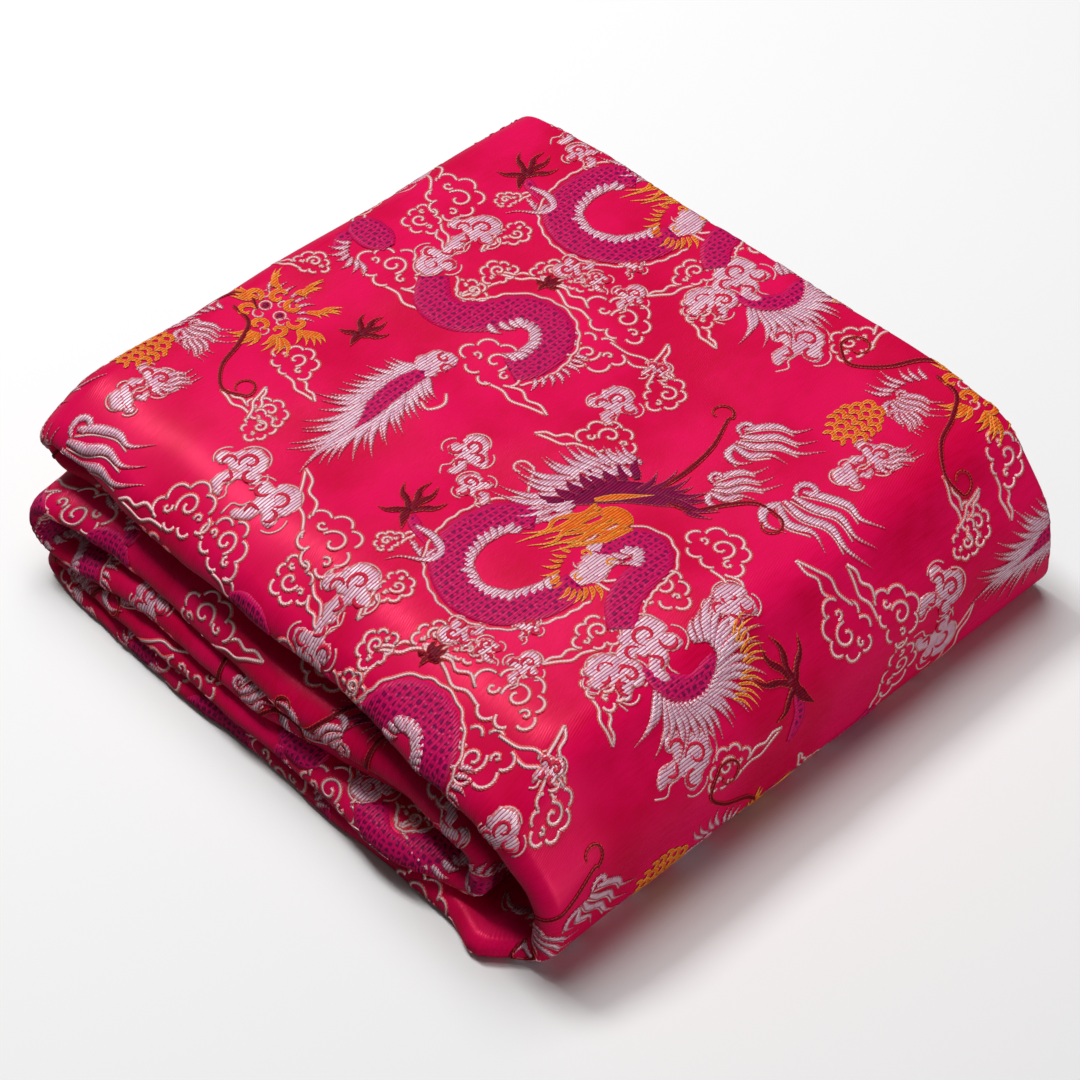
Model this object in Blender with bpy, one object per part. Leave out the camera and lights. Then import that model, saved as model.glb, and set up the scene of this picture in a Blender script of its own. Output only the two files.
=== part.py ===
"""A cut length of woven brocade, folded into a square pack for the shelf.

The cut is folded in half twice lengthwise, which makes a strip of four plies. The strip is then
folded crosswise into six leaves: an inner roll of three leaves, a bottom leaf, the wrap round the
near end, the top leaf and the end tucked under it. The whole cloth is one sheet.

Frame: +X along the side that shows the fold ridges, +Y inwards from the ridges, +Z up. The origin
is the middle of the footprint, on the surface that the pack rests on. Tables are in millimetres.
"""

import math
from typing import NamedTuple

import bmesh
import bpy
from mathutils import Vector

MM = 0.001

# Driving dimensions of the cloth and the pack, in millimetres.
CLOTH_THICKNESS = 1.0
INNER_RIDGE_SETBACK = 5.0  # from the outer front ridge to the ridge nested inside it
FREE_EDGE_SETBACK = 3.0  # of the two cut edges, behind the back ridge
RIDGE_DEPTH = 4.5  # of the outer front ridge, from its tip to where the plies run straight
RIDGE_SKEW = 2.5  # how much deeper the bulging side of a creased ridge is
SMALL_RIDGE_SHARE = 0.6  # depth of the back ridge and the nested ridge, in ply pitches
SAG_SHARE = 0.2  # how much lower the pack is at the front ridges than inside
SAG_FROM = -8.0  # Y where the sag is full
SAG_TO = 36.0  # Y where the sag ends
WALL_SKEW = 4.5  # how much further out the wrap's foot lies at the back than at the ridges
WALL_FROM = 222.0  # X where the skew begins
WALL_TO = 250.0  # X where it is full
WALL_TOP = 48.0  # Z where it has died out
CREASES_FROM = 0.55  # share of the pack's height below which the top's creases have died out

# How finely the cloth is divided.
ARC_STEP = math.radians(30.0)
ARC_CHORD = 12.0
RUN_STEP = 41.0
RIDGE_STEPS = 3  # in each quarter of the outer front ridge
SMALL_RIDGE_STEPS = 3  # in the back ridge and in the nested ridge
OUTER_SHARES = (0.04, 0.11, 0.32, 0.54, 0.77)  # rows across an outer ply, from its ridge
INNER_SHARES = (0.07, 0.40, 0.75)

SATIN_CRIMSON = (0.66, 0.004, 0.075, 1.0)
SATIN_ROUGHNESS = 0.38


class Turn(NamedTuple):
    """One corner of the strip's centreline, seen from the side of the ridges."""

    name: str
    x: float
    z: float
    radius: float  # of the rounded corner; 0 where the strip runs straight through
    pitch: float  # from ply to ply
    front: float  # Y of the outer front ridge
    crease: float  # 1 where the ridge is creased on the strip's left side, -1 on its right
    back: float  # Y of the back ridge


CROSSWISE_FOLDS = (
    Turn("tucked inner end", 205.0, 30.35, 0.0, 3.1, 7.0, 1.0, 236.0),
    Turn("inner run", 120.0, 30.35, 0.0, 3.1, -3.5, 1.0, 238.0),
    Turn("inner run dips", 50.0, 30.35, 60.0, 3.0, -4.0, 1.0, 240.0),
    Turn("hollow loop, floor", 22.0, 21.2, 30.0, 2.1, -5.0, 1.0, 239.0),
    Turn("hollow loop, low", 2.3, 21.2, 10.4, 2.1, -5.0, 0.3, 238.0),
    Turn("hollow loop, high", 2.3, 42.2, 10.4, 2.1, -3.0, -0.6, 238.0),
    Turn("hollow loop, roof", 26.0, 42.2, 60.0, 2.1, 0.0, -1.0, 240.0),
    Turn("middle run starts", 55.0, 42.95, 60.0, 3.1, 0.5, -1.0, 241.0),
    Turn("middle run", 137.0, 42.95, 0.0, 3.1, -2.5, -1.0, 240.0),
    Turn("middle run ends", 190.0, 42.95, 0.0, 3.1, 0.0, -1.0, 241.0),
    Turn("end wall, high", 226.5, 42.95, 8.0, 2.7, -1.5, -0.8, 241.0),
    Turn("end wall, low", 226.5, 17.75, 8.0, 2.7, -2.0, 0.6, 240.0),
    Turn("lower run starts", 190.0, 17.75, 0.0, 3.1, -9.0, 1.0, 241.0),
    Turn("lower run", 125.0, 17.75, 0.0, 3.1, -7.5, 1.0, 240.0),
    Turn("lower run dips", 50.0, 17.75, 60.0, 3.0, -5.5, 1.0, 241.0),
    Turn("small loop, neck", 25.0, 12.25, 40.0, 2.1, -4.0, 1.0, 240.0),
    Turn("small loop, high", 8.0, 12.25, 4.3, 2.1, -4.0, 0.2, 239.0),
    Turn("small loop, low", 8.0, 3.65, 4.3, 2.1, -4.0, -0.4, 239.0),
    Turn("bottom run starts", 25.0, 3.65, 40.0, 2.1, -6.0, -0.5, 240.0),
    Turn("bottom run rises", 55.0, 5.15, 60.0, 3.1, -7.0, -0.5, 241.0),
    Turn("bottom run", 155.0, 5.15, 0.0, 3.1, -7.5, -0.5, 241.0),
    Turn("bottom run ends", 218.0, 5.15, 0.0, 3.1, -6.5, -0.4, 241.0),
    Turn("wrap, pinch", 237.0, 5.15, 0.0, 3.1, -11.5, -0.3, 242.0),
    Turn("wrap, foot", 255.3, 5.15, 8.5, 3.0, -2.0, 0.0, 245.0),
    Turn("wrap, wall", 256.8, 39.0, 28.0, 2.9, -0.5, 0.6, 242.5),
    Turn("wrap, shoulder", 234.5, 68.15, 15.0, 3.0, -2.0, 1.0, 242.0),
    Turn("top run starts", 205.0, 68.15, 0.0, 3.1, 0.5, 1.0, 243.5),
    Turn("top run", 140.0, 68.15, 0.0, 3.1, 4.0, 1.0, 243.5),
    Turn("top run ends", 46.0, 68.15, 80.0, 3.1, 5.0, 1.0, 242.5),
    Turn("end loop, neck", 20.0, 69.65, 80.0, 2.1, 5.5, 1.0, 242.0),
    Turn("end loop, high", -0.9, 69.65, 9.3, 2.1, 6.0, 0.7, 240.5),
    Turn("end loop, low", -0.9, 50.9, 9.3, 2.1, 9.5, -0.3, 240.0),
    Turn("end loop, floor", 20.0, 50.9, 60.0, 2.1, 12.0, -1.0, 241.0),
    Turn("tucked run", 48.0, 55.55, 60.0, 3.1, 15.0, -1.0, 241.0),
    Turn("tucked run ends", 150.0, 55.55, 0.0, 3.1, 15.0, -1.0, 240.0),
    Turn("tucked outer end", 222.0, 55.55, 0.0, 3.1, 14.0, -1.0, 238.0),
)


class Wave(NamedTuple):
    """A slow wander of the front ridges along the strip."""

    length: float
    height: float
    start: float


RIDGE_WAVES = (
    Wave(131.0, 0.7, 0.4),
    Wave(67.0, 0.45, 2.1),
    Wave(38.0, 0.2, 4.0),
)


class Crease(NamedTuple):
    """A soft trough or ridge across the top, from one end to the other."""

    x0: float
    y0: float
    x1: float
    y1: float
    width: float
    rise: float  # negative for a trough


TOP_CREASES = (
    Crease(96.0, 122.0, 128.0, 86.0, 11.0, -0.8),
    Crease(142.0, 178.0, 176.0, 120.0, 14.0, -0.7),
    Crease(205.0, 96.0, 238.0, 132.0, 13.0, 0.6),
    Crease(60.0, 60.0, 110.0, 40.0, 13.0, 0.6),
    Crease(150.0, 48.0, 215.0, 34.0, 12.0, -0.6),
    Crease(28.0, 150.0, 70.0, 205.0, 15.0, 0.5),
)


class Station(NamedTuple):
    """A place along the strip's centreline, with the strip's make-up there."""

    x: float
    z: float
    right: tuple  # unit direction in X and Z to the strip's right side
    length: float  # along the centreline from the inner end
    pitch: float
    front: float
    crease: float
    back: float


def smooth_step(t):
    """0 below 0, 1 above 1, with a smooth rise between."""
    t = min(max(t, 0.0), 1.0)
    return t * t * (3.0 - 2.0 * t)


def rounded_centreline(turns):
    """Points (x, z, heading) of a path whose corners are arcs, and where each turn's middle is."""
    points, middles = [], []
    corners = [Vector((turn.x, turn.z)) for turn in turns]
    reached = corners[0]

    def run_to(end, heading):
        """Adds the straight run from the last point reached."""
        pieces = max(1, round((end - reached).length / RUN_STEP))
        for piece in range(pieces):
            at = reached.lerp(end, piece / pieces)
            points.append((at.x, at.y, heading))

    for index in range(1, len(corners) - 1):
        before = corners[index] - corners[index - 1]
        after = corners[index + 1] - corners[index]
        heading = math.atan2(before.y, before.x)
        bend = math.atan2(before.cross(after), before.dot(after))
        radius = turns[index].radius
        tangent = radius * math.tan(abs(bend) / 2.0)
        start = corners[index] - before.normalized() * tangent
        run_to(start, heading)
        side = math.copysign(1.0, bend)
        centre = start + side * radius * Vector((-math.sin(heading), math.cos(heading)))
        step = min(ARC_STEP, ARC_CHORD / radius) if radius else ARC_STEP
        pieces = max(1, round(abs(bend) / step)) if tangent else 0
        middles.append(len(points) + pieces // 2)
        for piece in range(pieces):
            angle = heading + bend * piece / pieces
            spoke = side * radius * Vector((math.sin(angle), -math.cos(angle)))
            points.append((centre.x + spoke.x, centre.y + spoke.y, angle))
        reached = corners[index] + after.normalized() * tangent
    last = corners[-1] - corners[-2]
    run_to(corners[-1], math.atan2(last.y, last.x))
    points.append((corners[-1].x, corners[-1].y, math.atan2(last.y, last.x)))
    return points, [0, *middles, len(points) - 1]


def stations_along(turns):
    """Every place along the strip where the cloth has a row of vertices."""
    points, middles = rounded_centreline(turns)
    lengths = [0.0]
    for (x0, z0, _), (x1, z1, _) in zip(points, points[1:]):
        lengths.append(lengths[-1] + math.hypot(x1 - x0, z1 - z0))
    stations = []
    for index, (x, z, angle) in enumerate(points):
        turn = max(k for k in range(len(middles) - 1) if middles[k] <= index or k == 0)
        low, high = lengths[middles[turn]], lengths[middles[turn + 1]]
        share = smooth_step((lengths[index] - low) / (high - low))
        here, there = turns[turn], turns[turn + 1]
        wander = sum(
            wave.height * math.sin(math.tau * lengths[index] / wave.length + wave.start)
            for wave in RIDGE_WAVES
        )
        stations.append(
            Station(
                x,
                z,
                (math.sin(angle), -math.cos(angle)),
                lengths[index],
                here.pitch + (there.pitch - here.pitch) * share,
                here.front + (there.front - here.front) * share + wander,
                here.crease + (there.crease - here.crease) * share,
                here.back + (there.back - here.back) * share,
            )
        )
    return stations


def ridge_point(station, angle):
    """(y, offset) on the outer front ridge, from -90 degrees at the left ply to 90 at the right."""
    outer = 1.5 * station.pitch
    tip = -station.crease * station.pitch
    depth = RIDGE_DEPTH + math.copysign(RIDGE_SKEW, angle) * station.crease
    reach = outer - tip if angle > 0.0 else outer + tip
    return (
        station.front + depth * (1.0 - math.cos(angle)),
        tip + reach * math.sin(angle),
    )


def ply_rows(start, end, shares):
    """Y positions on a straight ply, between two ridges, at the given shares of its width."""
    return [start + (end - start) * share for share in shares]


def cross_section(station):
    """(y, offset) of every vertex across the strip, from the free edge of its left outer ply
    round the front ridge, the back ridge and the nested ridge to the other free edge."""
    pitch, back = station.pitch, station.back
    ridge_step = math.pi / 2.0 / RIDGE_STEPS
    ridge = [ridge_point(station, ridge_step * step) for step in range(-RIDGE_STEPS, RIDGE_STEPS + 1)]
    bend = SMALL_RIDGE_SHARE * pitch
    nested = station.front + INNER_RIDGE_SETBACK + bend
    free = back - FREE_EDGE_SETBACK
    half_turn = [math.pi * step / SMALL_RIDGE_STEPS for step in range(SMALL_RIDGE_STEPS + 1)]

    left_outer = [
        (y, -1.5 * pitch)
        for y in [free, *reversed(ply_rows(ridge[0][0], free, OUTER_SHARES))]
    ]
    right_outer = [
        (y, 1.5 * pitch) for y in ply_rows(ridge[-1][0], back - bend, OUTER_SHARES)
    ]
    back_ridge = [
        (back - bend + bend * math.sin(angle), pitch * (1.0 + 0.5 * math.cos(angle)))
        for angle in half_turn
    ]
    right_inner = [
        (y, 0.5 * pitch)
        for y in reversed(ply_rows(nested, back - bend, INNER_SHARES))
    ]
    nested_ridge = [
        (nested - bend * math.sin(angle), 0.5 * pitch * math.cos(angle))
        for angle in half_turn
    ]
    left_inner = [
        (y, -0.5 * pitch) for y in [*ply_rows(nested, free, INNER_SHARES), free]
    ]
    return (
        left_outer + ridge + right_outer + back_ridge + right_inner + nested_ridge + left_inner
    )


def crease_rise(x, y):
    """How far the creases lift or lower the top at a place."""
    rise = 0.0
    for crease in TOP_CREASES:
        start = Vector((crease.x0, crease.y0))
        along = Vector((crease.x1, crease.y1)) - start
        share = min(max((Vector((x, y)) - start).dot(along) / along.length_squared, 0.0), 1.0)
        off = (Vector((x, y)) - start - along * share).length
        rise += crease.rise * math.exp(-((off / crease.width) ** 2))
    return rise


TOP_HEIGHT = max(turn.z for turn in CROSSWISE_FOLDS)
PACK_DEPTH = max(turn.back for turn in CROSSWISE_FOLDS)
HALF_CLOTH = CLOTH_THICKNESS / 2.0


def folded_point(station, y, offset):
    """The place in the pack, in millimetres, of a point of the strip."""
    x = station.x + station.right[0] * offset
    z = station.z + station.right[1] * offset
    z += crease_rise(x, y) * smooth_step((z / TOP_HEIGHT - CREASES_FROM) / (1.0 - CREASES_FROM))
    sag = SAG_SHARE * smooth_step((SAG_TO - y) / (SAG_TO - SAG_FROM))
    wall = smooth_step((x - WALL_FROM) / (WALL_TO - WALL_FROM)) * smooth_step(1.0 - z / WALL_TOP)
    x += WALL_SKEW * wall * (y / PACK_DEPTH - 0.5)
    z = HALF_CLOTH + (z - HALF_CLOTH) * (1.0 - sag)
    return Vector((x, y, z))


def fold_cloth():
    """The folded cloth's middle surface, as a mesh, centred on its footprint."""
    stations = stations_along(CROSSWISE_FOLDS)
    sections = [cross_section(station) for station in stations]
    columns, rows = len(stations), len(sections[0])
    cloth = bmesh.new()
    bmesh.ops.create_grid(
        cloth, x_segments=columns - 1, y_segments=rows - 1, size=1.0
    )
    for vertex in cloth.verts:
        column = round((vertex.co.x + 1.0) / 2.0 * (columns - 1))
        row = round((vertex.co.y + 1.0) / 2.0 * (rows - 1))
        vertex.co = folded_point(stations[column], *sections[column][row]) * MM
    low = [min(vertex.co[axis] for vertex in cloth.verts) for axis in range(2)]
    high = [max(vertex.co[axis] for vertex in cloth.verts) for axis in range(2)]
    middle = Vector(((low[0] + high[0]) / 2.0, (low[1] + high[1]) / 2.0, 0.0))
    bmesh.ops.translate(cloth, verts=cloth.verts, vec=-middle)
    bmesh.ops.recalc_face_normals(cloth, faces=cloth.faces)
    mesh = bpy.data.meshes.new("brocade_cloth")
    cloth.to_mesh(mesh)
    cloth.free()
    mesh.shade_smooth()
    return mesh


def satin_material():
    """The crimson satin ground of the brocade."""
    material = bpy.data.materials.new("brocade")
    material.use_nodes = True
    shader = material.node_tree.nodes["Principled BSDF"]
    shader.inputs["Base Color"].default_value = SATIN_CRIMSON
    shader.inputs["Roughness"].default_value = SATIN_ROUGHNESS
    shader.inputs["Metallic"].default_value = 0.0
    return material


def build_cloth():
    """The whole part: one sheet of cloth with its thickness."""
    cloth = bpy.data.objects.new("brocade_cloth", fold_cloth())
    cloth.data.materials.append(satin_material())
    bpy.context.scene.collection.objects.link(cloth)
    body = cloth.modifiers.new("thickness", "SOLIDIFY")
    body.thickness = CLOTH_THICKNESS * MM
    body.offset = 0.0
    body.use_rim = True
    return cloth


for leftover in list(bpy.data.objects):
    bpy.data.objects.remove(leftover)
build_cloth()
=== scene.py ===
"""Looks of a cut length of crimson brocade, folded into a soft square pack.

The cloth is one thin sheet on the pack's folds, with its creases placed one by one. The
brocading yarns are drawn flat, as a weaver's cartoon lays them out, repeated as the loom repeats
them, and folded with the cloth. The fold tables are in millimetres and the cartoon is in squares.
"""

import logging
import math
import random
from dataclasses import dataclass, field
from enum import Enum
from typing import Iterable, NamedTuple, Sequence

import bmesh
import bpy
import numpy as np
from mathutils import Matrix, Vector


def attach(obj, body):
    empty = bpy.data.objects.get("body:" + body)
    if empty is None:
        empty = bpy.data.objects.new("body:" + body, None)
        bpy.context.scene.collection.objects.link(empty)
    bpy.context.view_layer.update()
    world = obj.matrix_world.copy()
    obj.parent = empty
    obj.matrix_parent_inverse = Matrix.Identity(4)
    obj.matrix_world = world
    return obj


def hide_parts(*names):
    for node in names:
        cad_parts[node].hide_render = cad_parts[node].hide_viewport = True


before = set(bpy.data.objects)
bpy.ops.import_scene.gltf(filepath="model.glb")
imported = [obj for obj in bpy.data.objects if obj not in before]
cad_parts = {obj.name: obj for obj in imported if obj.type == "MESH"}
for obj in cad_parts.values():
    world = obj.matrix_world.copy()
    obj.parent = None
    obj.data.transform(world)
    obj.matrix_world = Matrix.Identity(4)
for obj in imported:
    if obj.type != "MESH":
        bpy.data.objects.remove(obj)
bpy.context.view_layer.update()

CAD_NODE = "brocade_cloth"

MM = 0.001
SQUARE = 8.5  # millimetres of cloth to a square of the cartoon
REPEATS = ((300.0, 0.0), (100.0, -150.0))  # millimetres along and across the cloth

log = logging.getLogger("folded_brocade")


def to_mesh(name: str, shape: bmesh.types.BMesh) -> bpy.types.Mesh:
    """Turns a finished shape into a mesh.

    Args:
        name: The mesh's name.
        shape: The shape, which is freed.

    Returns:
        The mesh.
    """
    mesh = bpy.data.meshes.new(name)
    shape.to_mesh(mesh)
    shape.free()
    return mesh


def in_scene(name: str, data: bpy.types.ID) -> bpy.types.Object:
    """Adds an object to the scene.

    Args:
        name: The object's name.
        data: Its mesh, light or camera.

    Returns:
        The object.
    """
    thing = bpy.data.objects.new(name, data)
    bpy.context.scene.collection.objects.link(thing)
    return thing


def vertex_places(mesh: bpy.types.Mesh) -> np.ndarray:
    """Where a mesh's vertices are.

    Args:
        mesh: The mesh.

    Returns:
        Rows of X, Y and Z.
    """
    rows = np.empty(len(mesh.vertices) * 3)
    mesh.vertices.foreach_get("co", rows)
    return rows.reshape(-1, 3)


def folded_piece(mesh: bpy.types.Mesh, flat: np.ndarray, places: np.ndarray) -> bpy.types.Object:
    """Moves a flat mesh to its places in the pack and makes it a piece.

    Args:
        mesh: The flat mesh.
        flat: Each vertex's place on the flat cloth, in millimetres, which the finishes read.
        places: Each vertex's place in the pack, in metres.

    Returns:
        The piece.
    """
    record = mesh.attributes.new("flat", "FLOAT_VECTOR", "POINT")
    record.data.foreach_set("vector", (flat * MM).ravel())
    mesh.vertices.foreach_set("co", places.ravel())
    mesh.update()
    mesh.shade_smooth()
    return in_scene(mesh.name, mesh)


def thicken(piece: bpy.types.Object, thickness: float, offset: float) -> None:
    """Gives a thin sheet its thickness.

    Args:
        piece: The sheet's object.
        thickness: The thickness, in millimetres.
        offset: 0 to thicken it about its middle, -1 to thicken it inwards.
    """
    body = piece.modifiers.new("thickness", "SOLIDIFY")
    body.thickness = thickness * MM
    body.offset = offset
    body.use_rim = True


class Turn(NamedTuple):
    """One corner of the strip's centreline, seen from the side of the ridges, in millimetres."""

    name: str
    x: float
    z: float
    radius: float  # of the rounded corner; 0 where the strip runs straight through
    pitch: float  # from ply to ply
    front: float  # Y of the outer front ridge
    crease: float  # 1 where the ridge is creased on the strip's left side, -1 on its right
    back: float  # Y of the back ridge


CROSSWISE_FOLDS = (
    Turn("tucked inner end", 205.0, 30.35, 0.0, 3.1, 7.0, 1.0, 236.0),
    Turn("inner run", 120.0, 30.35, 0.0, 3.1, -3.5, 1.0, 238.0),
    Turn("inner run dips", 50.0, 30.35, 60.0, 3.0, -4.0, 1.0, 240.0),
    Turn("hollow loop, floor", 22.0, 21.2, 30.0, 2.1, -5.0, 1.0, 239.0),
    Turn("hollow loop, low", 2.3, 21.2, 10.4, 2.1, -5.0, 0.3, 238.0),
    Turn("hollow loop, high", 2.3, 42.2, 10.4, 2.1, -3.0, -0.6, 238.0),
    Turn("hollow loop, roof", 26.0, 42.2, 60.0, 2.1, 0.0, -1.0, 240.0),
    Turn("middle run starts", 55.0, 42.95, 60.0, 3.1, 0.5, -1.0, 241.0),
    Turn("middle run", 137.0, 42.95, 0.0, 3.1, -2.5, -1.0, 240.0),
    Turn("middle run ends", 190.0, 42.95, 0.0, 3.1, 0.0, -1.0, 241.0),
    Turn("end wall, high", 226.5, 42.95, 8.0, 2.7, -1.5, -0.8, 241.0),
    Turn("end wall, low", 226.5, 17.75, 8.0, 2.7, -2.0, 0.6, 240.0),
    Turn("lower run starts", 190.0, 17.75, 0.0, 3.1, -9.0, 1.0, 241.0),
    Turn("lower run", 125.0, 17.75, 0.0, 3.1, -7.5, 1.0, 240.0),
    Turn("lower run dips", 50.0, 17.75, 60.0, 3.0, -5.5, 1.0, 241.0),
    Turn("small loop, neck", 25.0, 12.25, 40.0, 2.1, -4.0, 1.0, 240.0),
    Turn("small loop, high", 8.0, 12.25, 4.3, 2.1, -4.0, 0.2, 239.0),
    Turn("small loop, low", 8.0, 3.65, 4.3, 2.1, -4.0, -0.4, 239.0),
    Turn("bottom run starts", 25.0, 3.65, 40.0, 2.1, -6.0, -0.5, 240.0),
    Turn("bottom run rises", 55.0, 5.15, 60.0, 3.1, -7.0, -0.5, 241.0),
    Turn("bottom run", 155.0, 5.15, 0.0, 3.1, -7.5, -0.5, 241.0),
    Turn("bottom run ends", 218.0, 5.15, 0.0, 3.1, -6.5, -0.4, 241.0),
    Turn("wrap, pinch", 237.0, 5.15, 0.0, 3.1, -11.5, -0.3, 242.0),
    Turn("wrap, foot", 255.3, 5.15, 8.5, 3.0, -2.0, 0.0, 245.0),
    Turn("wrap, wall", 256.8, 39.0, 28.0, 2.9, -0.5, 0.6, 242.5),
    Turn("wrap, shoulder", 234.5, 68.15, 15.0, 3.0, -2.0, 1.0, 242.0),
    Turn("top run starts", 205.0, 68.15, 0.0, 3.1, 0.5, 1.0, 243.5),
    Turn("top run", 140.0, 68.15, 0.0, 3.1, 4.0, 1.0, 243.5),
    Turn("top run ends", 46.0, 68.15, 80.0, 3.1, 5.0, 1.0, 242.5),
    Turn("end loop, neck", 20.0, 69.65, 80.0, 2.1, 5.5, 1.0, 242.0),
    Turn("end loop, high", -0.9, 69.65, 9.3, 2.1, 6.0, 0.7, 240.5),
    Turn("end loop, low", -0.9, 50.9, 9.3, 2.1, 9.5, -0.3, 240.0),
    Turn("end loop, floor", 20.0, 50.9, 60.0, 2.1, 12.0, -1.0, 241.0),
    Turn("tucked run", 48.0, 55.55, 60.0, 3.1, 15.0, -1.0, 241.0),
    Turn("tucked run ends", 150.0, 55.55, 0.0, 3.1, 15.0, -1.0, 240.0),
    Turn("tucked outer end", 222.0, 55.55, 0.0, 3.1, 14.0, -1.0, 238.0),
)


class Wave(NamedTuple):
    """A slow wander of the front ridges along the strip, in millimetres."""

    length: float
    height: float
    start: float


RIDGE_WAVES = (
    Wave(131.0, 0.7, 0.4),
    Wave(67.0, 0.45, 2.1),
    Wave(38.0, 0.2, 4.0),
    Wave(17.0, 0.12, 1.3),
)


class Crease(NamedTuple):
    """A soft trough or ridge across the top, from one end to the other, in millimetres."""

    x0: float
    y0: float
    x1: float
    y1: float
    width: float
    rise: float  # negative for a trough


TOP_CREASES = (
    Crease(96.0, 122.0, 128.0, 86.0, 11.0, -0.8),
    Crease(142.0, 178.0, 176.0, 120.0, 14.0, -0.7),
    Crease(205.0, 96.0, 238.0, 132.0, 13.0, 0.6),
    Crease(60.0, 60.0, 110.0, 40.0, 13.0, 0.6),
    Crease(150.0, 48.0, 215.0, 34.0, 12.0, -0.6),
    Crease(28.0, 150.0, 70.0, 205.0, 15.0, 0.5),
    Crease(101.0, 116.0, 126.0, 113.0, 4.0, -0.35),
    Crease(100.0, 116.0, 102.0, 84.0, 4.0, -0.3),
    Crease(127.0, 114.0, 133.0, 74.0, 5.0, 0.3),
    Crease(40.0, 118.0, 66.0, 76.0, 6.0, 0.4),
    Crease(52.0, 124.0, 70.0, 88.0, 5.0, -0.4),
    Crease(160.0, 222.0, 190.0, 168.0, 8.0, 0.45),
    Crease(196.0, 216.0, 226.0, 176.0, 7.0, 0.4),
    Crease(208.0, 222.0, 234.0, 190.0, 7.0, -0.45),
    Crease(112.0, 214.0, 138.0, 150.0, 8.0, -0.4),
    Crease(122.0, 226.0, 150.0, 184.0, 6.0, 0.35),
    Crease(178.0, 40.0, 198.0, 10.0, 8.0, 0.4),
    Crease(20.0, 60.0, 48.0, 20.0, 8.0, -0.35),
    Crease(74.0, 20.0, 118.0, 12.0, 7.0, 0.3),
    Crease(212.0, 60.0, 236.0, 20.0, 8.0, -0.45),
)


class Lane(NamedTuple):
    """The strip's make-up at places along it; each field has one value for each place."""

    x: np.ndarray
    z: np.ndarray
    heading: np.ndarray
    pitch: np.ndarray
    front: np.ndarray
    crease: np.ndarray
    back: np.ndarray


# Offsets of the strip's outer and inner plies from its centreline, in ply pitches.
OUTER_PLY = 1.5
INNER_PLY = 0.5


def smooth_step(t: np.ndarray) -> np.ndarray:
    """0 below 0, 1 above 1, with a smooth rise between."""
    t = np.clip(t, 0.0, 1.0)
    return t * t * (3.0 - 2.0 * t)


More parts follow.
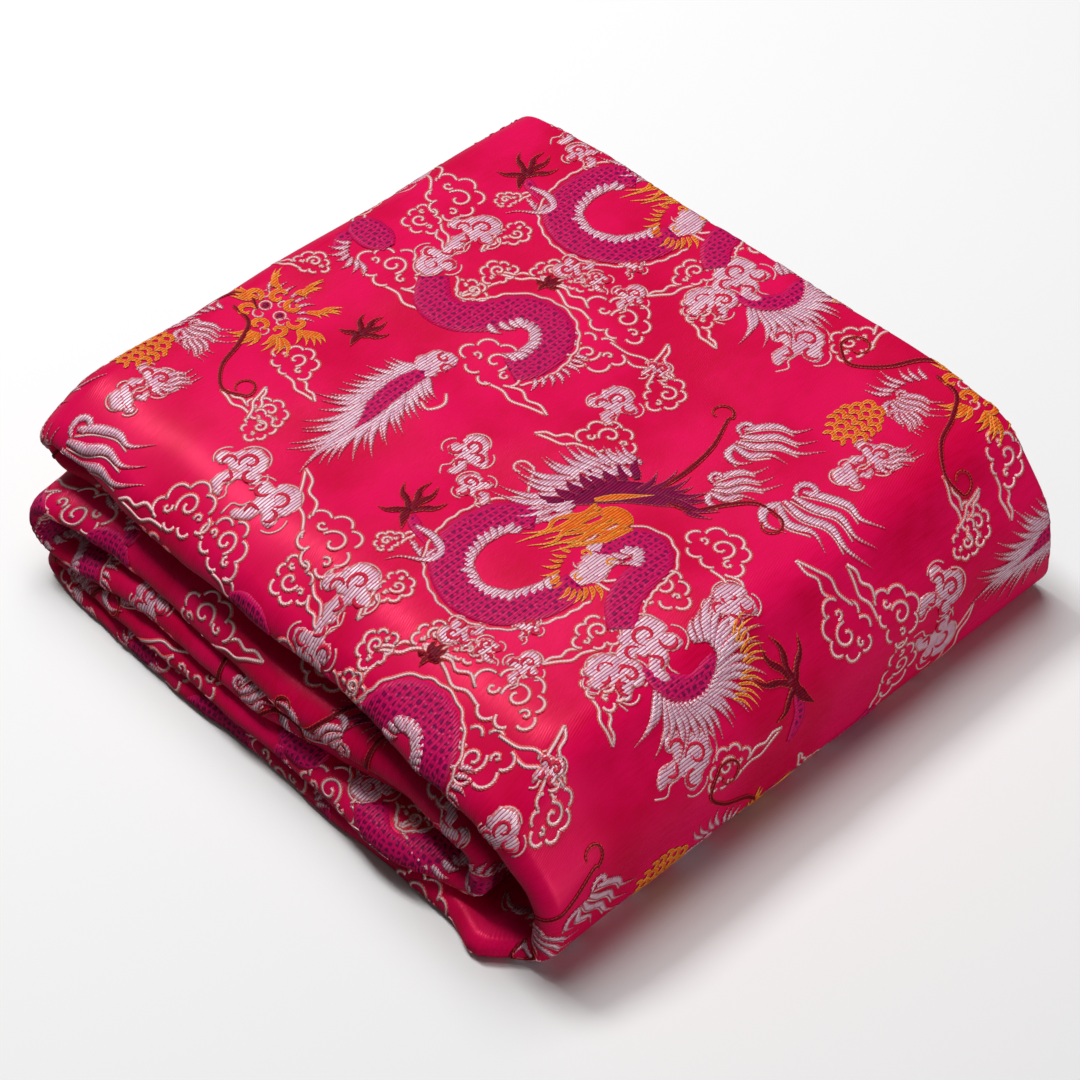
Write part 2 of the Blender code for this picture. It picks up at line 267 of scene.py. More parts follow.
@dataclass
class FoldedStrip:
    """Maps places of the flat cloth to places in the folded pack, all in millimetres."""

    turns: tuple[Turn, ...] = CROSSWISE_FOLDS
    run_step: float = 5.0
    arc_step: float = math.radians(4.0)
    nested_setback: float = 5.0  # from the outer front ridge to the ridge nested inside it
    free_setback: float = 3.0  # of the two cut edges, behind the back ridge
    ridge_depth: float = 4.5
    ridge_skew: float = 2.5
    small_ridge: float = 0.6  # depth of the back and nested ridges, in ply pitches
    sag: float = 0.2
    sag_from: float = -8.0
    sag_to: float = 36.0
    wall_skew: float = 4.5
    wall_from: float = 222.0
    wall_to: float = 250.0
    wall_top: float = 48.0
    creases_from: float = 0.55  # share of the height from which the creases show
    ripple_length: float = 15.0  # of the slow ripples on top, which swing to and fro and fade
    ripple_swing: float = 1.6
    swing_length: float = 31.0
    fade_length: float = 25.0
    fade_slant: float = 60.0
    fade_start: float = 0.7
    ridge_seen: float = 24.0  # how far round the front ridge the cloth can be seen
    back_seen: float = 15.0  # the same at the back ridge
    cut_margin: float = 1.0  # in from the left ply's cut edge, where the yarns stop
    inner_margin: float = 8.0  # past the back ridge, where the yarns stop
    slope_step: float = 0.15  # half the distance over which the surface's slope is read
    floor_level: float = 0.5  # Z of the lowest ply's middle surface
    middle: tuple[float, float] = (0.0, 0.0)  # of the footprint, which the cloth measures

    def __post_init__(self) -> None:
        """Traces the centreline and measures the cloth along it."""
        self._trace()
        top = next(turn for turn in self.turns if turn.name == "top run")
        place = int(np.argmin(np.hypot(self.path_x - top.x, self.path_z - top.z)))
        self.pattern_start = top.x + self.path_u[place]

    def _trace(self) -> None:
        """Samples the rounded centreline finely enough to be read between its samples."""
        points: list[tuple[float, float, float]] = []
        middles: list[int] = []
        corners = [Vector((turn.x, turn.z)) for turn in self.turns]
        reached = corners[0]

        def run_to(end: Vector, heading: float) -> None:
            """Adds the straight run from the last point reached.

            Args:
                end: Where the run ends.
                heading: Its heading.
            """
            pieces = max(1, math.ceil((end - reached).length / self.run_step))
            for piece in range(pieces):
                at = reached.lerp(end, piece / pieces)
                points.append((at.x, at.y, heading))

        turned = math.pi
        for index in range(1, len(corners) - 1):
            before = corners[index] - corners[index - 1]
            after = corners[index + 1] - corners[index]
            bend = math.atan2(before.cross(after), before.dot(after))
            radius = self.turns[index].radius
            tangent = radius * math.tan(abs(bend) / 2.0)
            start = corners[index] - before.normalized() * tangent
            run_to(start, turned)
            side = math.copysign(1.0, bend)
            centre = start + side * radius * Vector((-math.sin(turned), math.cos(turned)))
            pieces = 2 * max(1, math.ceil(abs(bend) / self.arc_step / 2.0)) if tangent else 0
            middles.append(len(points) + pieces // 2)
            for piece in range(pieces):
                angle = turned + bend * piece / pieces
                spoke = side * radius * Vector((math.sin(angle), -math.cos(angle)))
                points.append((centre.x + spoke.x, centre.y + spoke.y, angle))
            turned += bend
            reached = corners[index] + after.normalized() * tangent
        run_to(corners[-1], turned)
        points.append((corners[-1].x, corners[-1].y, turned))

        self.path_x, self.path_z, self.path_heading = np.array(points).T
        steps = np.hypot(np.diff(self.path_x), np.diff(self.path_z))
        self.path_s = np.concatenate([[0.0], np.cumsum(steps)])
        self.middle_s = self.path_s[[0, *middles, len(points) - 1]]
        pitches = self._between("pitch", self.path_s)
        bends = np.abs(np.diff(self.path_heading)) * OUTER_PLY * pitches[1:]
        self.path_u = np.concatenate([[0.0], np.cumsum(steps + bends)])

    def _between(self, name: str, s: np.ndarray) -> np.ndarray:
        """A column of the fold table at places along the strip.

        Args:
            name: The column.
            s: Lengths along the centreline.

        Returns:
            The column's value at each length.
        """
        values = np.array([getattr(turn, name) for turn in self.turns])
        last = len(self.turns) - 2
        turn = np.clip(np.searchsorted(self.middle_s, s, side="right") - 1, 0, last)
        low, high = self.middle_s[turn], self.middle_s[turn + 1]
        share = smooth_step((s - low) / np.maximum(high - low, 1e-6))
        return values[turn] + (values[turn + 1] - values[turn]) * share

    def lane(self, s: np.ndarray) -> Lane:
        """The strip's make-up at places along it.

        Args:
            s: Lengths along the centreline.

        Returns:
            The make-up at each length.
        """
        wander = sum(
            wave.height * np.sin(math.tau * s / wave.length + wave.start) for wave in RIDGE_WAVES
        )
        return Lane(
            np.interp(s, self.path_s, self.path_x),
            np.interp(s, self.path_s, self.path_z),
            np.interp(s, self.path_s, self.path_heading),
            self._between("pitch", s),
            self._between("front", s) + wander,
            self._between("crease", s),
            self._between("back", s),
        )

    def ridge(self, lane: Lane) -> tuple[np.ndarray, ...]:
        """Depth, reach and arc length of the outer front ridge's two sides.

        Args:
            lane: The strip's make-up.

        Returns:
            Depth, reach and arc of the left side, and then of the right side.
        """
        sizes: list[np.ndarray] = []
        for side in (-1.0, 1.0):
            depth = self.ridge_depth + side * self.ridge_skew * lane.crease
            reach = (OUTER_PLY + side * lane.crease) * lane.pitch
            sizes += [depth, reach, math.pi / 2.0 * np.sqrt((depth**2 + reach**2) / 2.0)]
        return tuple(sizes)

    def marks(self, lane: Lane) -> np.ndarray:
        """Where the cross-section's plies and ridges meet, from the tip of the front ridge.

        Args:
            lane: The strip's make-up.

        Returns:
            Nine rows, from the left ply's cut edge to the inner ply's.
        """
        left_depth, _, left_arc, right_depth, _, right_arc = self.ridge(lane)
        small = self.small_ridge * lane.pitch
        turn_arc = math.pi * np.sqrt((small**2 + (0.5 * lane.pitch) ** 2) / 2.0)
        nested = lane.front + self.nested_setback + small
        free = lane.back - self.free_setback
        widths = (
            lane.back - small - lane.front - right_depth,
            turn_arc,
            lane.back - small - nested,
            turn_arc,
            free - nested,
        )
        marks = [-left_arc - (free - lane.front - left_depth), -left_arc, 0.0 * left_arc, right_arc]
        for width in widths:
            marks.append(marks[-1] + width)
        return np.array(marks)

    def across(self, lane: Lane, w: np.ndarray) -> tuple[np.ndarray, np.ndarray]:
        """Y and offset of places on the cross-section.

        Args:
            lane: The strip's make-up.
            w: Lengths along the cross-section from the tip of the front ridge.

        Returns:
            Y, and the offset to the strip's right side.
        """
        left_depth, left_reach, left_arc, right_depth, right_reach, right_arc = self.ridge(lane)
        marks = self.marks(lane)
        pitch, front, back = lane.pitch, lane.front, lane.back
        tip = -lane.crease * pitch
        small = self.small_ridge * pitch
        nested = front + self.nested_setback + small
        turn_arc = marks[5] - marks[4]
        left_angle = math.pi / 2.0 * w / left_arc
        right_angle = math.pi / 2.0 * w / right_arc
        back_angle = math.pi * (w - marks[4]) / turn_arc
        nested_angle = math.pi * (w - marks[6]) / turn_arc
        stretches = [w <= marks[1], w <= 0.0, w <= marks[3], w <= marks[4], w <= marks[5]]
        stretches += [w <= marks[6], w <= marks[7]]
        y = np.select(
            stretches,
            [
                front + left_depth - left_arc - w,
                front + left_depth * (1.0 - np.cos(left_angle)),
                front + right_depth * (1.0 - np.cos(right_angle)),
                front + right_depth + w - right_arc,
                back - small + small * np.sin(back_angle),
                back - small - (w - marks[5]),
                nested - small * np.sin(nested_angle),
            ],
            nested + (w - marks[7]),
        )
        offset = np.select(
            stretches,
            [
                -OUTER_PLY * pitch,
                tip + left_reach * np.sin(left_angle),
                tip + right_reach * np.sin(right_angle),
                OUTER_PLY * pitch,
                pitch * (1.0 + 0.5 * np.cos(back_angle)),
                INNER_PLY * pitch,
                INNER_PLY * pitch * np.cos(nested_angle),
            ],
            -INNER_PLY * pitch,
        )
        return y, offset

    def crease_rise(self, x: np.ndarray, y: np.ndarray) -> np.ndarray:
        """How far the creases lift or lower the top.

        Args:
            x: Each place's X.
            y: Each place's Y.

        Returns:
            The rise at each place.
        """
        swing = self.ripple_swing * np.sin(y / self.swing_length)
        fade = np.sin(y / self.fade_length + self.fade_start + x / self.fade_slant)
        rise = np.sin(x / self.ripple_length + swing) * fade
        for crease in TOP_CREASES:
            along_x, along_y = crease.x1 - crease.x0, crease.y1 - crease.y0
            span = along_x**2 + along_y**2
            share = ((x - crease.x0) * along_x + (y - crease.y0) * along_y) / span
            share = np.clip(share, 0.0, 1.0)
            off = np.hypot(x - crease.x0 - share * along_x, y - crease.y0 - share * along_y)
            rise = rise + crease.rise * np.exp(-((off / crease.width) ** 2))
        return rise

    def fold(self, lane: Lane, y: np.ndarray, offset: np.ndarray) -> np.ndarray:
        """The places in the pack of points of the strip.

        Args:
            lane: The strip's make-up at each point.
            y: Each point's Y.
            offset: Each point's offset to the strip's right side.

        Returns:
            One row of X, Y and Z for each point, in metres.
        """
        x = lane.x + np.sin(lane.heading) * offset
        z = lane.z - np.cos(lane.heading) * offset
        top = max(turn.z for turn in self.turns)
        high = smooth_step((z / top - self.creases_from) / (1.0 - self.creases_from))
        z = z + self.crease_rise(x, y) * high
        sag = self.sag * smooth_step((self.sag_to - y) / (self.sag_to - self.sag_from))
        wall = smooth_step((x - self.wall_from) / (self.wall_to - self.wall_from))
        wall = wall * smooth_step(1.0 - z / self.wall_top)
        depth = max(turn.back for turn in self.turns)
        x = x + self.wall_skew * wall * (y / depth - 0.5)
        z = self.floor_level + (z - self.floor_level) * (1.0 - sag)
        return np.stack([x - self.middle[0], y - self.middle[1], z], axis=-1) * MM

    def pattern_shift(self, lane: Lane) -> np.ndarray:
        """What to add to a length across the cloth to get its Y in the cartoon."""
        _, _, _, right_depth, _, right_arc = self.ridge(lane)
        return lane.front + right_depth - right_arc

    def surface(self, flat: np.ndarray) -> np.ndarray:
        """The middle surface at places of the flat cloth.

        Args:
            flat: Rows of X and Y in the cartoon's frame, in millimetres.

        Returns:
            Rows of X, Y and Z, in metres.
        """
        s = np.interp(self.pattern_start - flat[:, 0], self.path_u, self.path_s)
        lane = self.lane(s)
        y, offset = self.across(lane, flat[:, 1] - self.pattern_shift(lane))
        return self.fold(lane, y, offset)

    def place(self, flat: np.ndarray, height: np.ndarray) -> np.ndarray:
        """Places at a height above the cloth's outer face.

        Args:
            flat: Rows of X and Y in the cartoon's frame, in millimetres.
            height: Each place's height above the middle surface, in millimetres.

        Returns:
            Rows of X, Y and Z, in metres.
        """
        here = self.surface(flat)
        step_x, step_y = (self.slope_step, 0.0), (0.0, self.slope_step)
        along = self.surface(flat + step_x) - self.surface(flat - step_x)
        over = self.surface(flat + step_y) - self.surface(flat - step_y)
        out = np.cross(along, over)
        out = out / np.maximum(np.linalg.norm(out, axis=1, keepdims=True), 1e-12)
        return here + out * (height * MM)[:, None]

    def shows(self, flat: np.ndarray) -> np.ndarray:
        """Whether each place of the flat cloth is on a face that can be seen.

        Args:
            flat: Rows of X and Y in the cartoon's frame, in millimetres.

        Returns:
            True or false for each row.
        """
        u = self.pattern_start - flat[:, 0]
        s = np.interp(u, self.path_u, self.path_s)
        lane = self.lane(s)
        marks = self.marks(lane)
        w = flat[:, 1] - self.pattern_shift(lane)
        seen = (np.abs(w) < self.ridge_seen) | (np.abs(w - marks[4]) < self.back_seen)
        for first, last, right in OUTER_FACES:
            inside = (s > self.length_at(first)) & (s < self.length_at(last))
            seen |= inside & (w > -self.ridge_seen if right else w < self.ridge_seen)
        on_cloth = (w > marks[0] + self.cut_margin) & (w < marks[5] + self.inner_margin)
        return seen & on_cloth & (u > 0.0) & (u < self.path_u[-1])

    def length_at(self, name: str) -> float:
        """The length along the centreline at a turn of the fold table."""
        index = [turn.name for turn in self.turns].index(name)
        return float(self.middle_s[index])


# Stretches of the strip whose face is outermost, and whether that face is the strip's right side.
OUTER_FACES = (
    ("inner run dips", "middle run starts", False),
    ("middle run ends", "lower run starts", False),
    ("small loop, neck", "tucked run", True),
)


class Yarn(Enum):
    """The brocading yarns, each with its piece's name."""

    CORD = "silver_outline"
    SILVER = "silver_floats"
    NOTCH = "crimson_notches"
    SCALES = "scaled_bodies"
    SPIKES = "silver_spikes"
    PLUM = "plum_feathers"
    ORANGE = "orange_strands"
    MAROON = "maroon_claws"


class Shape(Enum):
    """How a stroke's width goes from its root to its tip."""

    EVEN = (1.0, 1.0)
    DISC = (0.05, 0.66, 0.87, 0.97, 1.0, 0.97, 0.87, 0.66, 0.05)
    MASS = (
        0.1, 0.56, 0.68, 0.62, 0.5, 0.82, 0.98, 1.0, 0.9,
        0.72, 0.9, 0.96, 0.84, 0.56, 0.66, 0.6, 0.42, 0.1,
    )
    LEAF = (0.5, 0.9, 1.0, 0.85, 0.55, 0.25, 0.03)
    WHISK = (0.6, 0.9, 1.0, 0.9, 0.8, 0.7, 0.6, 0.5, 0.35)
    ROUND = (0.35, 0.8, 1.0, 1.0, 1.0, 0.8, 0.35)
    BODY = (0.75, 0.95, 1.0, 1.0, 1.0, 1.0, 0.95, 0.85)
    TALON = (0.7, 1.0, 0.75, 0.95, 0.6, 0.4, 0.06)


Points = Sequence[tuple[float, float]]

SPAN_SAMPLES = 12  # on a smooth curve, from one given point to the next
SPIRAL_STEP = 35.0  # degrees from point to point of a spiral


def smooth_path(points: Points, step: float) -> np.ndarray:
    """Evenly spaced places on a smooth curve through a few points.

    Args:
        points: The points, in squares.
        step: The spacing, in squares.

    Returns:
        Rows of X and Y.
    """
    way = np.array(points, dtype=float)
    if len(way) > 2:
        before = np.vstack([2 * way[0] - way[1], way[:-1]])
        after = np.vstack([way[1:], 2 * way[-1] - way[-2]])
        slope = (after - before) / 2.0
        t = np.linspace(0.0, 1.0, SPAN_SAMPLES, endpoint=False)[:, None]
        parts = [
            (2 * t**3 - 3 * t**2 + 1) * way[k]
            + (t**3 - 2 * t**2 + t) * slope[k]
            + (3 * t**2 - 2 * t**3) * way[k + 1]
            + (t**3 - t**2) * slope[k + 1]
            for k in range(len(way) - 1)
        ]
        way = np.vstack([*parts, way[-1:]])
    reach = np.concatenate([[0.0], np.cumsum(np.hypot(*np.diff(way, axis=0).T))])
    pieces = max(2, round(reach[-1] / step))
    at = np.linspace(0.0, reach[-1], pieces + 1)
    return np.stack([np.interp(at, reach, way[:, 0]), np.interp(at, reach, way[:, 1])], axis=1)


def arc(x: float, y: float, radius: float, start: float, end: float, count: int = 7) -> Points:
    """Points on an arc.

    Args:
        x: The centre's X.
        y: The centre's Y.
        radius: The arc's radius.
        start: The first point's bearing, in degrees.
        end: The last point's bearing, in degrees.
        count: How many points.

    Returns:
        The points.
    """
    bearings = [math.radians(start + (end - start) * k / (count - 1)) for k in range(count)]
    return [(x + radius * math.cos(b), y + radius * math.sin(b)) for b in bearings]


def spiral(x: float, y: float, radius: float, start: float, sweep: float, inner: float = 0.2) -> Points:
    """Points on a spiral that winds inwards.

    Args:
        x: The centre's X.
        y: The centre's Y.
        radius: The radius where it starts.
        start: The bearing where it starts, in degrees.
        sweep: How far it turns, in degrees; negative turns clockwise.
        inner: The radius where it ends, as a share of the first.

    Returns:
        The points.
    """
    count = max(6, round(abs(sweep) / SPIRAL_STEP))
    points = []
    for k in range(count + 1):
        share = k / count
        reach = radius * (1.0 - (1.0 - inner) * share)
        bearing = math.radians(start + sweep * share)
        points.append((x + reach * math.cos(bearing), y + reach * math.sin(bearing)))
    return points


STACK = 0.12  # millimetres from a yarn's lowest strokes to its highest
CROWN = 0.12  # millimetres that a stroke's middle stands above its edges
FULL_CROWN = 1.5  # half width, in millimetres, from which a stroke has its full crown
THIN_CORD = 1.6  # millimetres; a thinner cord is one face across
NARROW = 3.0  # millimetres; a narrower stroke is two faces across


@dataclass(frozen=True)
class Stroke:
    """One stroke of the cartoon: a strip of yarn along a curve, in squares."""

    path: Points
    width: float
    yarn: Yarn
    shape: Shape = Shape.EVEN

    def fineness(self) -> tuple[float, int]:
        """How finely the stroke is divided.

        Returns:
            The spacing along it in millimetres, and how many faces lie across it.
        """
        widest = self.width * SQUARE
        if self.yarn is Yarn.CORD and widest < THIN_CORD:
            return 1.4, 1
        if widest < NARROW:
            return 1.25, 2
        return 1.7, min(6, 2 * math.ceil(widest / 4.0))

    def weave(self, cell: bmesh.types.BMesh, rank: float) -> None:
        """Adds the stroke to the yarn's flat mesh.

        Args:
            cell: The yarn's mesh for one repeat.
            rank: From 0 to 1, how high the stroke lies among its neighbours.
        """
        step, across = self.fineness()
        way = smooth_path(self.path, step / SQUARE)
        along = len(way) - 1
        run = np.gradient(way, axis=0)
        run /= np.maximum(np.linalg.norm(run, axis=1, keepdims=True), 1e-9)
        shares = np.linspace(0.0, 1.0, along + 1)
        profile = self.shape.value
        halves = np.interp(shares, np.linspace(0.0, 1.0, len(profile)), profile) * self.width / 2.0
        made = bmesh.ops.create_grid(cell, x_segments=along, y_segments=across, size=1.0)
        stroke = cell.verts.layers.float_vector["stroke"]
        step = float(np.hypot(*(way[1] - way[0]))) * SQUARE
        for vertex in made["verts"]:
            column = round((vertex.co.x + 1.0) / 2.0 * along)
            side = vertex.co.y
            half = halves[column]
            crown = CROWN * (1.0 - side * side) * min(1.0, half * SQUARE / FULL_CROWN)
            x, y = way[column] + half * side * np.array([-run[column][1], run[column][0]])
            vertex.co = (x * SQUARE, y * SQUARE, crown + STACK * rank)
            vertex[stroke] = (column * step * MM, half * side * SQUARE * MM, half * SQUARE * MM)


class Spot(NamedTuple):
    """Where a motif goes, in squares: its middle or root, its size, its turn and its side."""

    x: float
    y: float
    size: float
    turn: float = 0.0  # degrees
    flip: int = 1  # -1 for its mirror image

    def put(self, points: Points) -> Points:
        """A motif's own points, sized, mirrored, turned and moved.

        Args:
            points: The points, for a size of 1.

        Returns:
            The points in the cartoon; those of a mirror image run the other way.
        """
        x, y, size, turn, flip = self
        cos, sin = math.cos(math.radians(turn)), math.sin(math.radians(turn))
        put = [
            (x + size * (flip * px * cos - py * sin), y + size * (flip * px * sin + py * cos))
            for px, py in points
        ]
        return put[::flip]


CORD_WIDTH = 0.175
SPIKE_WIDTH = 0.36
PLATE_STEP = 0.4  # from plate to plate of a belly
SCALLOP = 0.55  # length of a scallop outside a body
SCALLOP_DEPTH = 0.1
RIM_GAP = 0.1  # between a body and the scalloped line

# Lobes of an outlined cloud: middle X and Y, radius, and the bearings it runs between.
CLOUD_LOBES = (
    (-0.80, -0.12, 0.30, 262.0, 88.0),
    (-0.46, 0.36, 0.34, 210.0, 62.0),
    (0.10, 0.60, 0.36, 172.0, 18.0),
    (0.62, 0.34, 0.30, 120.0, -32.0),
    (0.84, -0.14, 0.28, 66.0, -108.0),
    (0.40, -0.42, 0.28, -28.0, -168.0),
    (-0.18, -0.46, 0.28, -22.0, -160.0),
)

# The two lines of an outlined cloud's tail, from the cloud to the tip.
CLOUD_TAIL = (
    ((-0.95, -0.38), (-1.3, -0.24), (-1.62, -0.44), (-1.95, -0.34), (-2.3, -0.5)),
    ((-0.42, -0.68), (-0.95, -0.6), (-1.35, -0.76), (-1.8, -0.62), (-2.3, -0.5)),
)
TAIL_ROOT = -0.95

# A filled cloud: its masses with their widths, the scrolls left between them, and its thin rims.
CLOUD_MASSES = (
    (((-1.0, -0.32), (-0.45, 0.0), (0.2, 0.02), (0.95, -0.28)), 1.05),
    (((-0.62, 0.22), (0.0, 0.62), (0.7, 0.34)), 0.9),
    (((0.5, -0.1), (0.05, -0.5), (-0.12, -0.95), (0.2, -1.35)), 0.66),
)
CLOUD_SCROLLS = (
    spiral(0.06, 0.3, 0.4, 250.0, -360.0, 0.35),
    arc(-0.5, -0.16, 0.24, 30.0, 240.0, 6),
    arc(0.6, -0.12, 0.26, 150.0, 360.0, 6),
    ((-0.16, -0.42), (0.16, -0.62), (0.0, -0.9)),
)
CLOUD_RIMS = (
    arc(0.05, 0.44, 0.66, 168.0, 20.0, 7),
    arc(-0.66, -0.08, 0.52, 240.0, 120.0, 6),
    arc(0.72, -0.1, 0.5, 66.0, -60.0, 6),
    ((0.3, -0.62), (0.28, -0.95), (0.5, -1.2), (0.3, -1.62)),
)

# A flame's tongues, from root to tip, for a longest tongue of 1.
FLAME_TONGUES = (
    ((0.0, 0.0), (0.24, -0.02), (0.47, 0.07), (0.71, 0.05), (1.0, 0.2)),
    ((0.02, 0.09), (0.24, 0.13), (0.44, 0.22), (0.67, 0.2), (0.87, 0.33)),
    ((0.04, 0.2), (0.22, 0.31), (0.42, 0.38), (0.58, 0.36), (0.78, 0.51)),
    ((0.0, -0.07), (0.2, -0.18), (0.42, -0.09), (0.64, -0.16)),
    ((0.0, -0.04), (-0.04, -0.22), (0.09, -0.33), (0.27, -0.27)),
)

# How many orange loops lie in each row of the flaming cone.
CONE_ROWS = (2, 3, 4, 4, 4, 3, 2)

# Fingers of a claw: bearing from the middle one, and length as a share.
TALONS = ((-62.0, 0.9), (-26.0, 1.05), (8.0, 1.1), (42.0, 1.0), (112.0, 0.75))


@dataclass
class Cartoon:
    """Strokes of one repeat, gathered motif by motif."""

    strokes: list[Stroke] = field(default_factory=list)
    chance: random.Random = field(default_factory=lambda: random.Random(7))

    def add(self, path: Points, width: float, yarn: Yarn, shape: Shape = Shape.EVEN) -> None:
        """Adds one stroke, with its path, width, yarn and shape."""
        self.strokes.append(Stroke(tuple(path), width, yarn, shape))

    def disc(self, x: float, y: float, width: float, yarn: Yarn) -> None:
        """Adds a round patch."""
        self.add([(x - width / 2.0, y), (x, y), (x + width / 2.0, y)], width, yarn, Shape.DISC)

    def spikes(
        self,
        roots: Points,
        bearings: tuple[float, float],
        lengths: tuple[float, float],
        count: int,
        width: float = SPIKE_WIDTH,
        yarn: Yarn = Yarn.SPIKES,
        bow: float = 0.14,
    ) -> None:
        """A fan of tapered spikes along a line.

        Args:
            roots: The line that they stand on.
            bearings: The first and the last spike's bearing, in degrees.
            lengths: The first and the last spike's length.
            count: How many spikes.
            width: A spike's width.
            yarn: Their yarn.
            bow: How far each spike bows to its left, as a share of its length.
        """
        line = smooth_path(roots, 0.05)
        for k in range(count):
            share = (k + 0.5) / count
            root = line[round(share * (len(line) - 1))]
            bearing = bearings[0] + (bearings[1] - bearings[0]) * share
            bearing = math.radians(bearing + self.chance.uniform(-5.0, 5.0))
            reach = lengths[0] + (lengths[1] - lengths[0]) * share
            reach *= self.chance.uniform(0.8, 1.15)
            way = np.array([math.cos(bearing), math.sin(bearing)])
            side = np.array([-way[1], way[0]])
            middle = root + way * reach * 0.45 + side * reach * bow
            near_tip = root + way * reach * 0.8 + side * reach * bow * 0.6
            tip = root + way * reach
            spike = [tuple(root), tuple(middle), tuple(near_tip), tuple(tip)]
            self.add(spike, width, yarn, Shape.LEAF)

    def body(self, path: Points, width: float, belly: int, bellied: tuple[float, float]) -> None:
        """A scaled body with a scalloped line outside and overlapping plates inside.

        Args:
            path: The body's middle line.
            width: Its width.
            belly: 1 where the belly is on the left of the path, -1 on its right.
            bellied: The shares of the path between which the belly shows.
        """
        self.add(path, width, Yarn.SCALES, Shape.BODY)
        step = 0.08
        way = smooth_path(path, step)
        run = np.gradient(way, axis=0)
        run /= np.linalg.norm(run, axis=1, keepdims=True)
        side = np.stack([-run[:, 1], run[:, 0]], axis=1)
        reach = step * np.arange(len(way))
        scallop = SCALLOP_DEPTH * np.abs(np.sin(math.pi * reach / SCALLOP))
        outer = way - belly * side * (width / 2.0 + RIM_GAP + scallop)[:, None]
        self.add([tuple(p) for p in outer[::2]], 0.16, Yarn.CORD)
        first, last = (round(share * (len(way) - 1)) for share in bellied)
        for k in range(first, last, round(PLATE_STEP / step)):
            root = way[k] + belly * side[k] * width * 0.26
            middle = root + belly * side[k] * 0.4 + run[k] * 0.1
            tip = root + belly * side[k] * 0.66 + run[k] * 0.5
            self.add([tuple(root), tuple(middle), tuple(tip)], 0.4, Yarn.SPIKES, Shape.LEAF)

    def cloud_line(self, spot: Spot) -> None:
        """An outlined cloud: a lobed rim, scrolls inside and a double wavy tail.

        Args:
            spot: Where it goes.
        """
        parts = []
        for at_x, at_y, radius, start, end in CLOUD_LOBES:
            at_x += self.chance.uniform(-0.06, 0.06)
            at_y += self.chance.uniform(-0.06, 0.06)
            radius *= self.chance.uniform(0.88, 1.14)
            parts.append(arc(at_x, at_y, radius, start, end, 6))
        parts.append(spiral(0.08, 0.16, 0.44, 215.0, -self.chance.uniform(340.0, 480.0), 0.25))
        parts.append(spiral(-0.56, -0.1, 0.2, 40.0, -300.0, 0.3))
        parts.append(spiral(0.66, -0.06, 0.18, 200.0, -300.0, 0.3))
        long = self.chance.uniform(0.9, 1.4)
        for wave in CLOUD_TAIL:
            parts.append([(TAIL_ROOT + (at_x - TAIL_ROOT) * long, at_y) for at_x, at_y in wave])
        for part in parts:
            self.add(spot.put(part), CORD_WIDTH, Yarn.CORD)

    def cloud_fill(self, spot: Spot) -> None:
        """A cloud filled with silver floats, with crimson scrolls left between them.

        Args:
            spot: Where it goes.
        """
        for mass, width in CLOUD_MASSES:
            shaken = [
                (px + self.chance.uniform(-0.1, 0.1), py + self.chance.uniform(-0.08, 0.08))
                for px, py in mass
            ]
            broad = width * spot.size * self.chance.uniform(0.92, 1.1)
            self.add(spot.put(shaken), broad, Yarn.SILVER, Shape.MASS)
        for scroll in CLOUD_SCROLLS:
            self.add(spot.put(scroll), 0.17, Yarn.NOTCH, Shape.ROUND)
        for rim in CLOUD_RIMS:
            self.add(spot.put(rim), 0.1, Yarn.CORD)

    def flames(self, spot: Spot) -> None:
        """Silver flames: wavy tongues that stream side by side from a curled root.

        Args:
            spot: Where it goes.
        """
        for tongue in FLAME_TONGUES:
            self.add(spot.put(tongue), 0.14 + 0.07 * spot.size, Yarn.SPIKES, Shape.LEAF)
            edge = [(px + 0.02, py - 0.05) for px, py in tongue[:-1]]
            self.add(spot.put(edge), 0.11, Yarn.CORD)
        curl = spiral(0.07, 0.24, 0.12, 260.0, -330.0, 0.35)
        self.add(spot.put(curl), 0.1 + 0.05 * spot.size, Yarn.SPIKES, Shape.ROUND)

    def claw(self, spot: Spot) -> None:
        """A claw: a short limb and hooked talons, the middle one along the turn.

        Args:
            spot: Where its palm goes.
        """
        limb = [(0.2, 0.0), (-0.1, 0.04), (-0.4, 0.0), (-0.7, -0.1)]
        self.add(spot.put(limb), 0.27 * spot.size + 0.1, Yarn.MAROON, Shape.TALON)
        for bearing, reach in TALONS:
            hook = math.copysign(0.14, bearing)
            talon = [(0.0, 0.0), (0.4, -0.5 * hook), (0.8, -0.3 * hook), (1.15, -1.6 * hook)]
            finger = spot._replace(size=spot.size * reach, turn=spot.turn + bearing)
            self.add(finger.put(talon), 0.36, Yarn.MAROON, Shape.TALON)

    def whisker(self, path: Points, curl: Points, width: float = 0.24) -> None:
        """A long whisker that ends in a curl.

        Args:
            path: The points from its root.
            curl: The points of its curl.
            width: Its width.
        """
        self.add([*path, *curl], width, Yarn.MAROON, Shape.WHISK)

    def curls(self, places: Points, yarn: Yarn, size: float = 0.3, width: float = 0.2) -> None:
        """Small curls of one yarn, each turned a little further than the last."""
        for k, (x, y) in enumerate(places):
            self.add(spiral(x, y, size, 70.0 * k, 330.0, 0.3), width, yarn, Shape.ROUND)


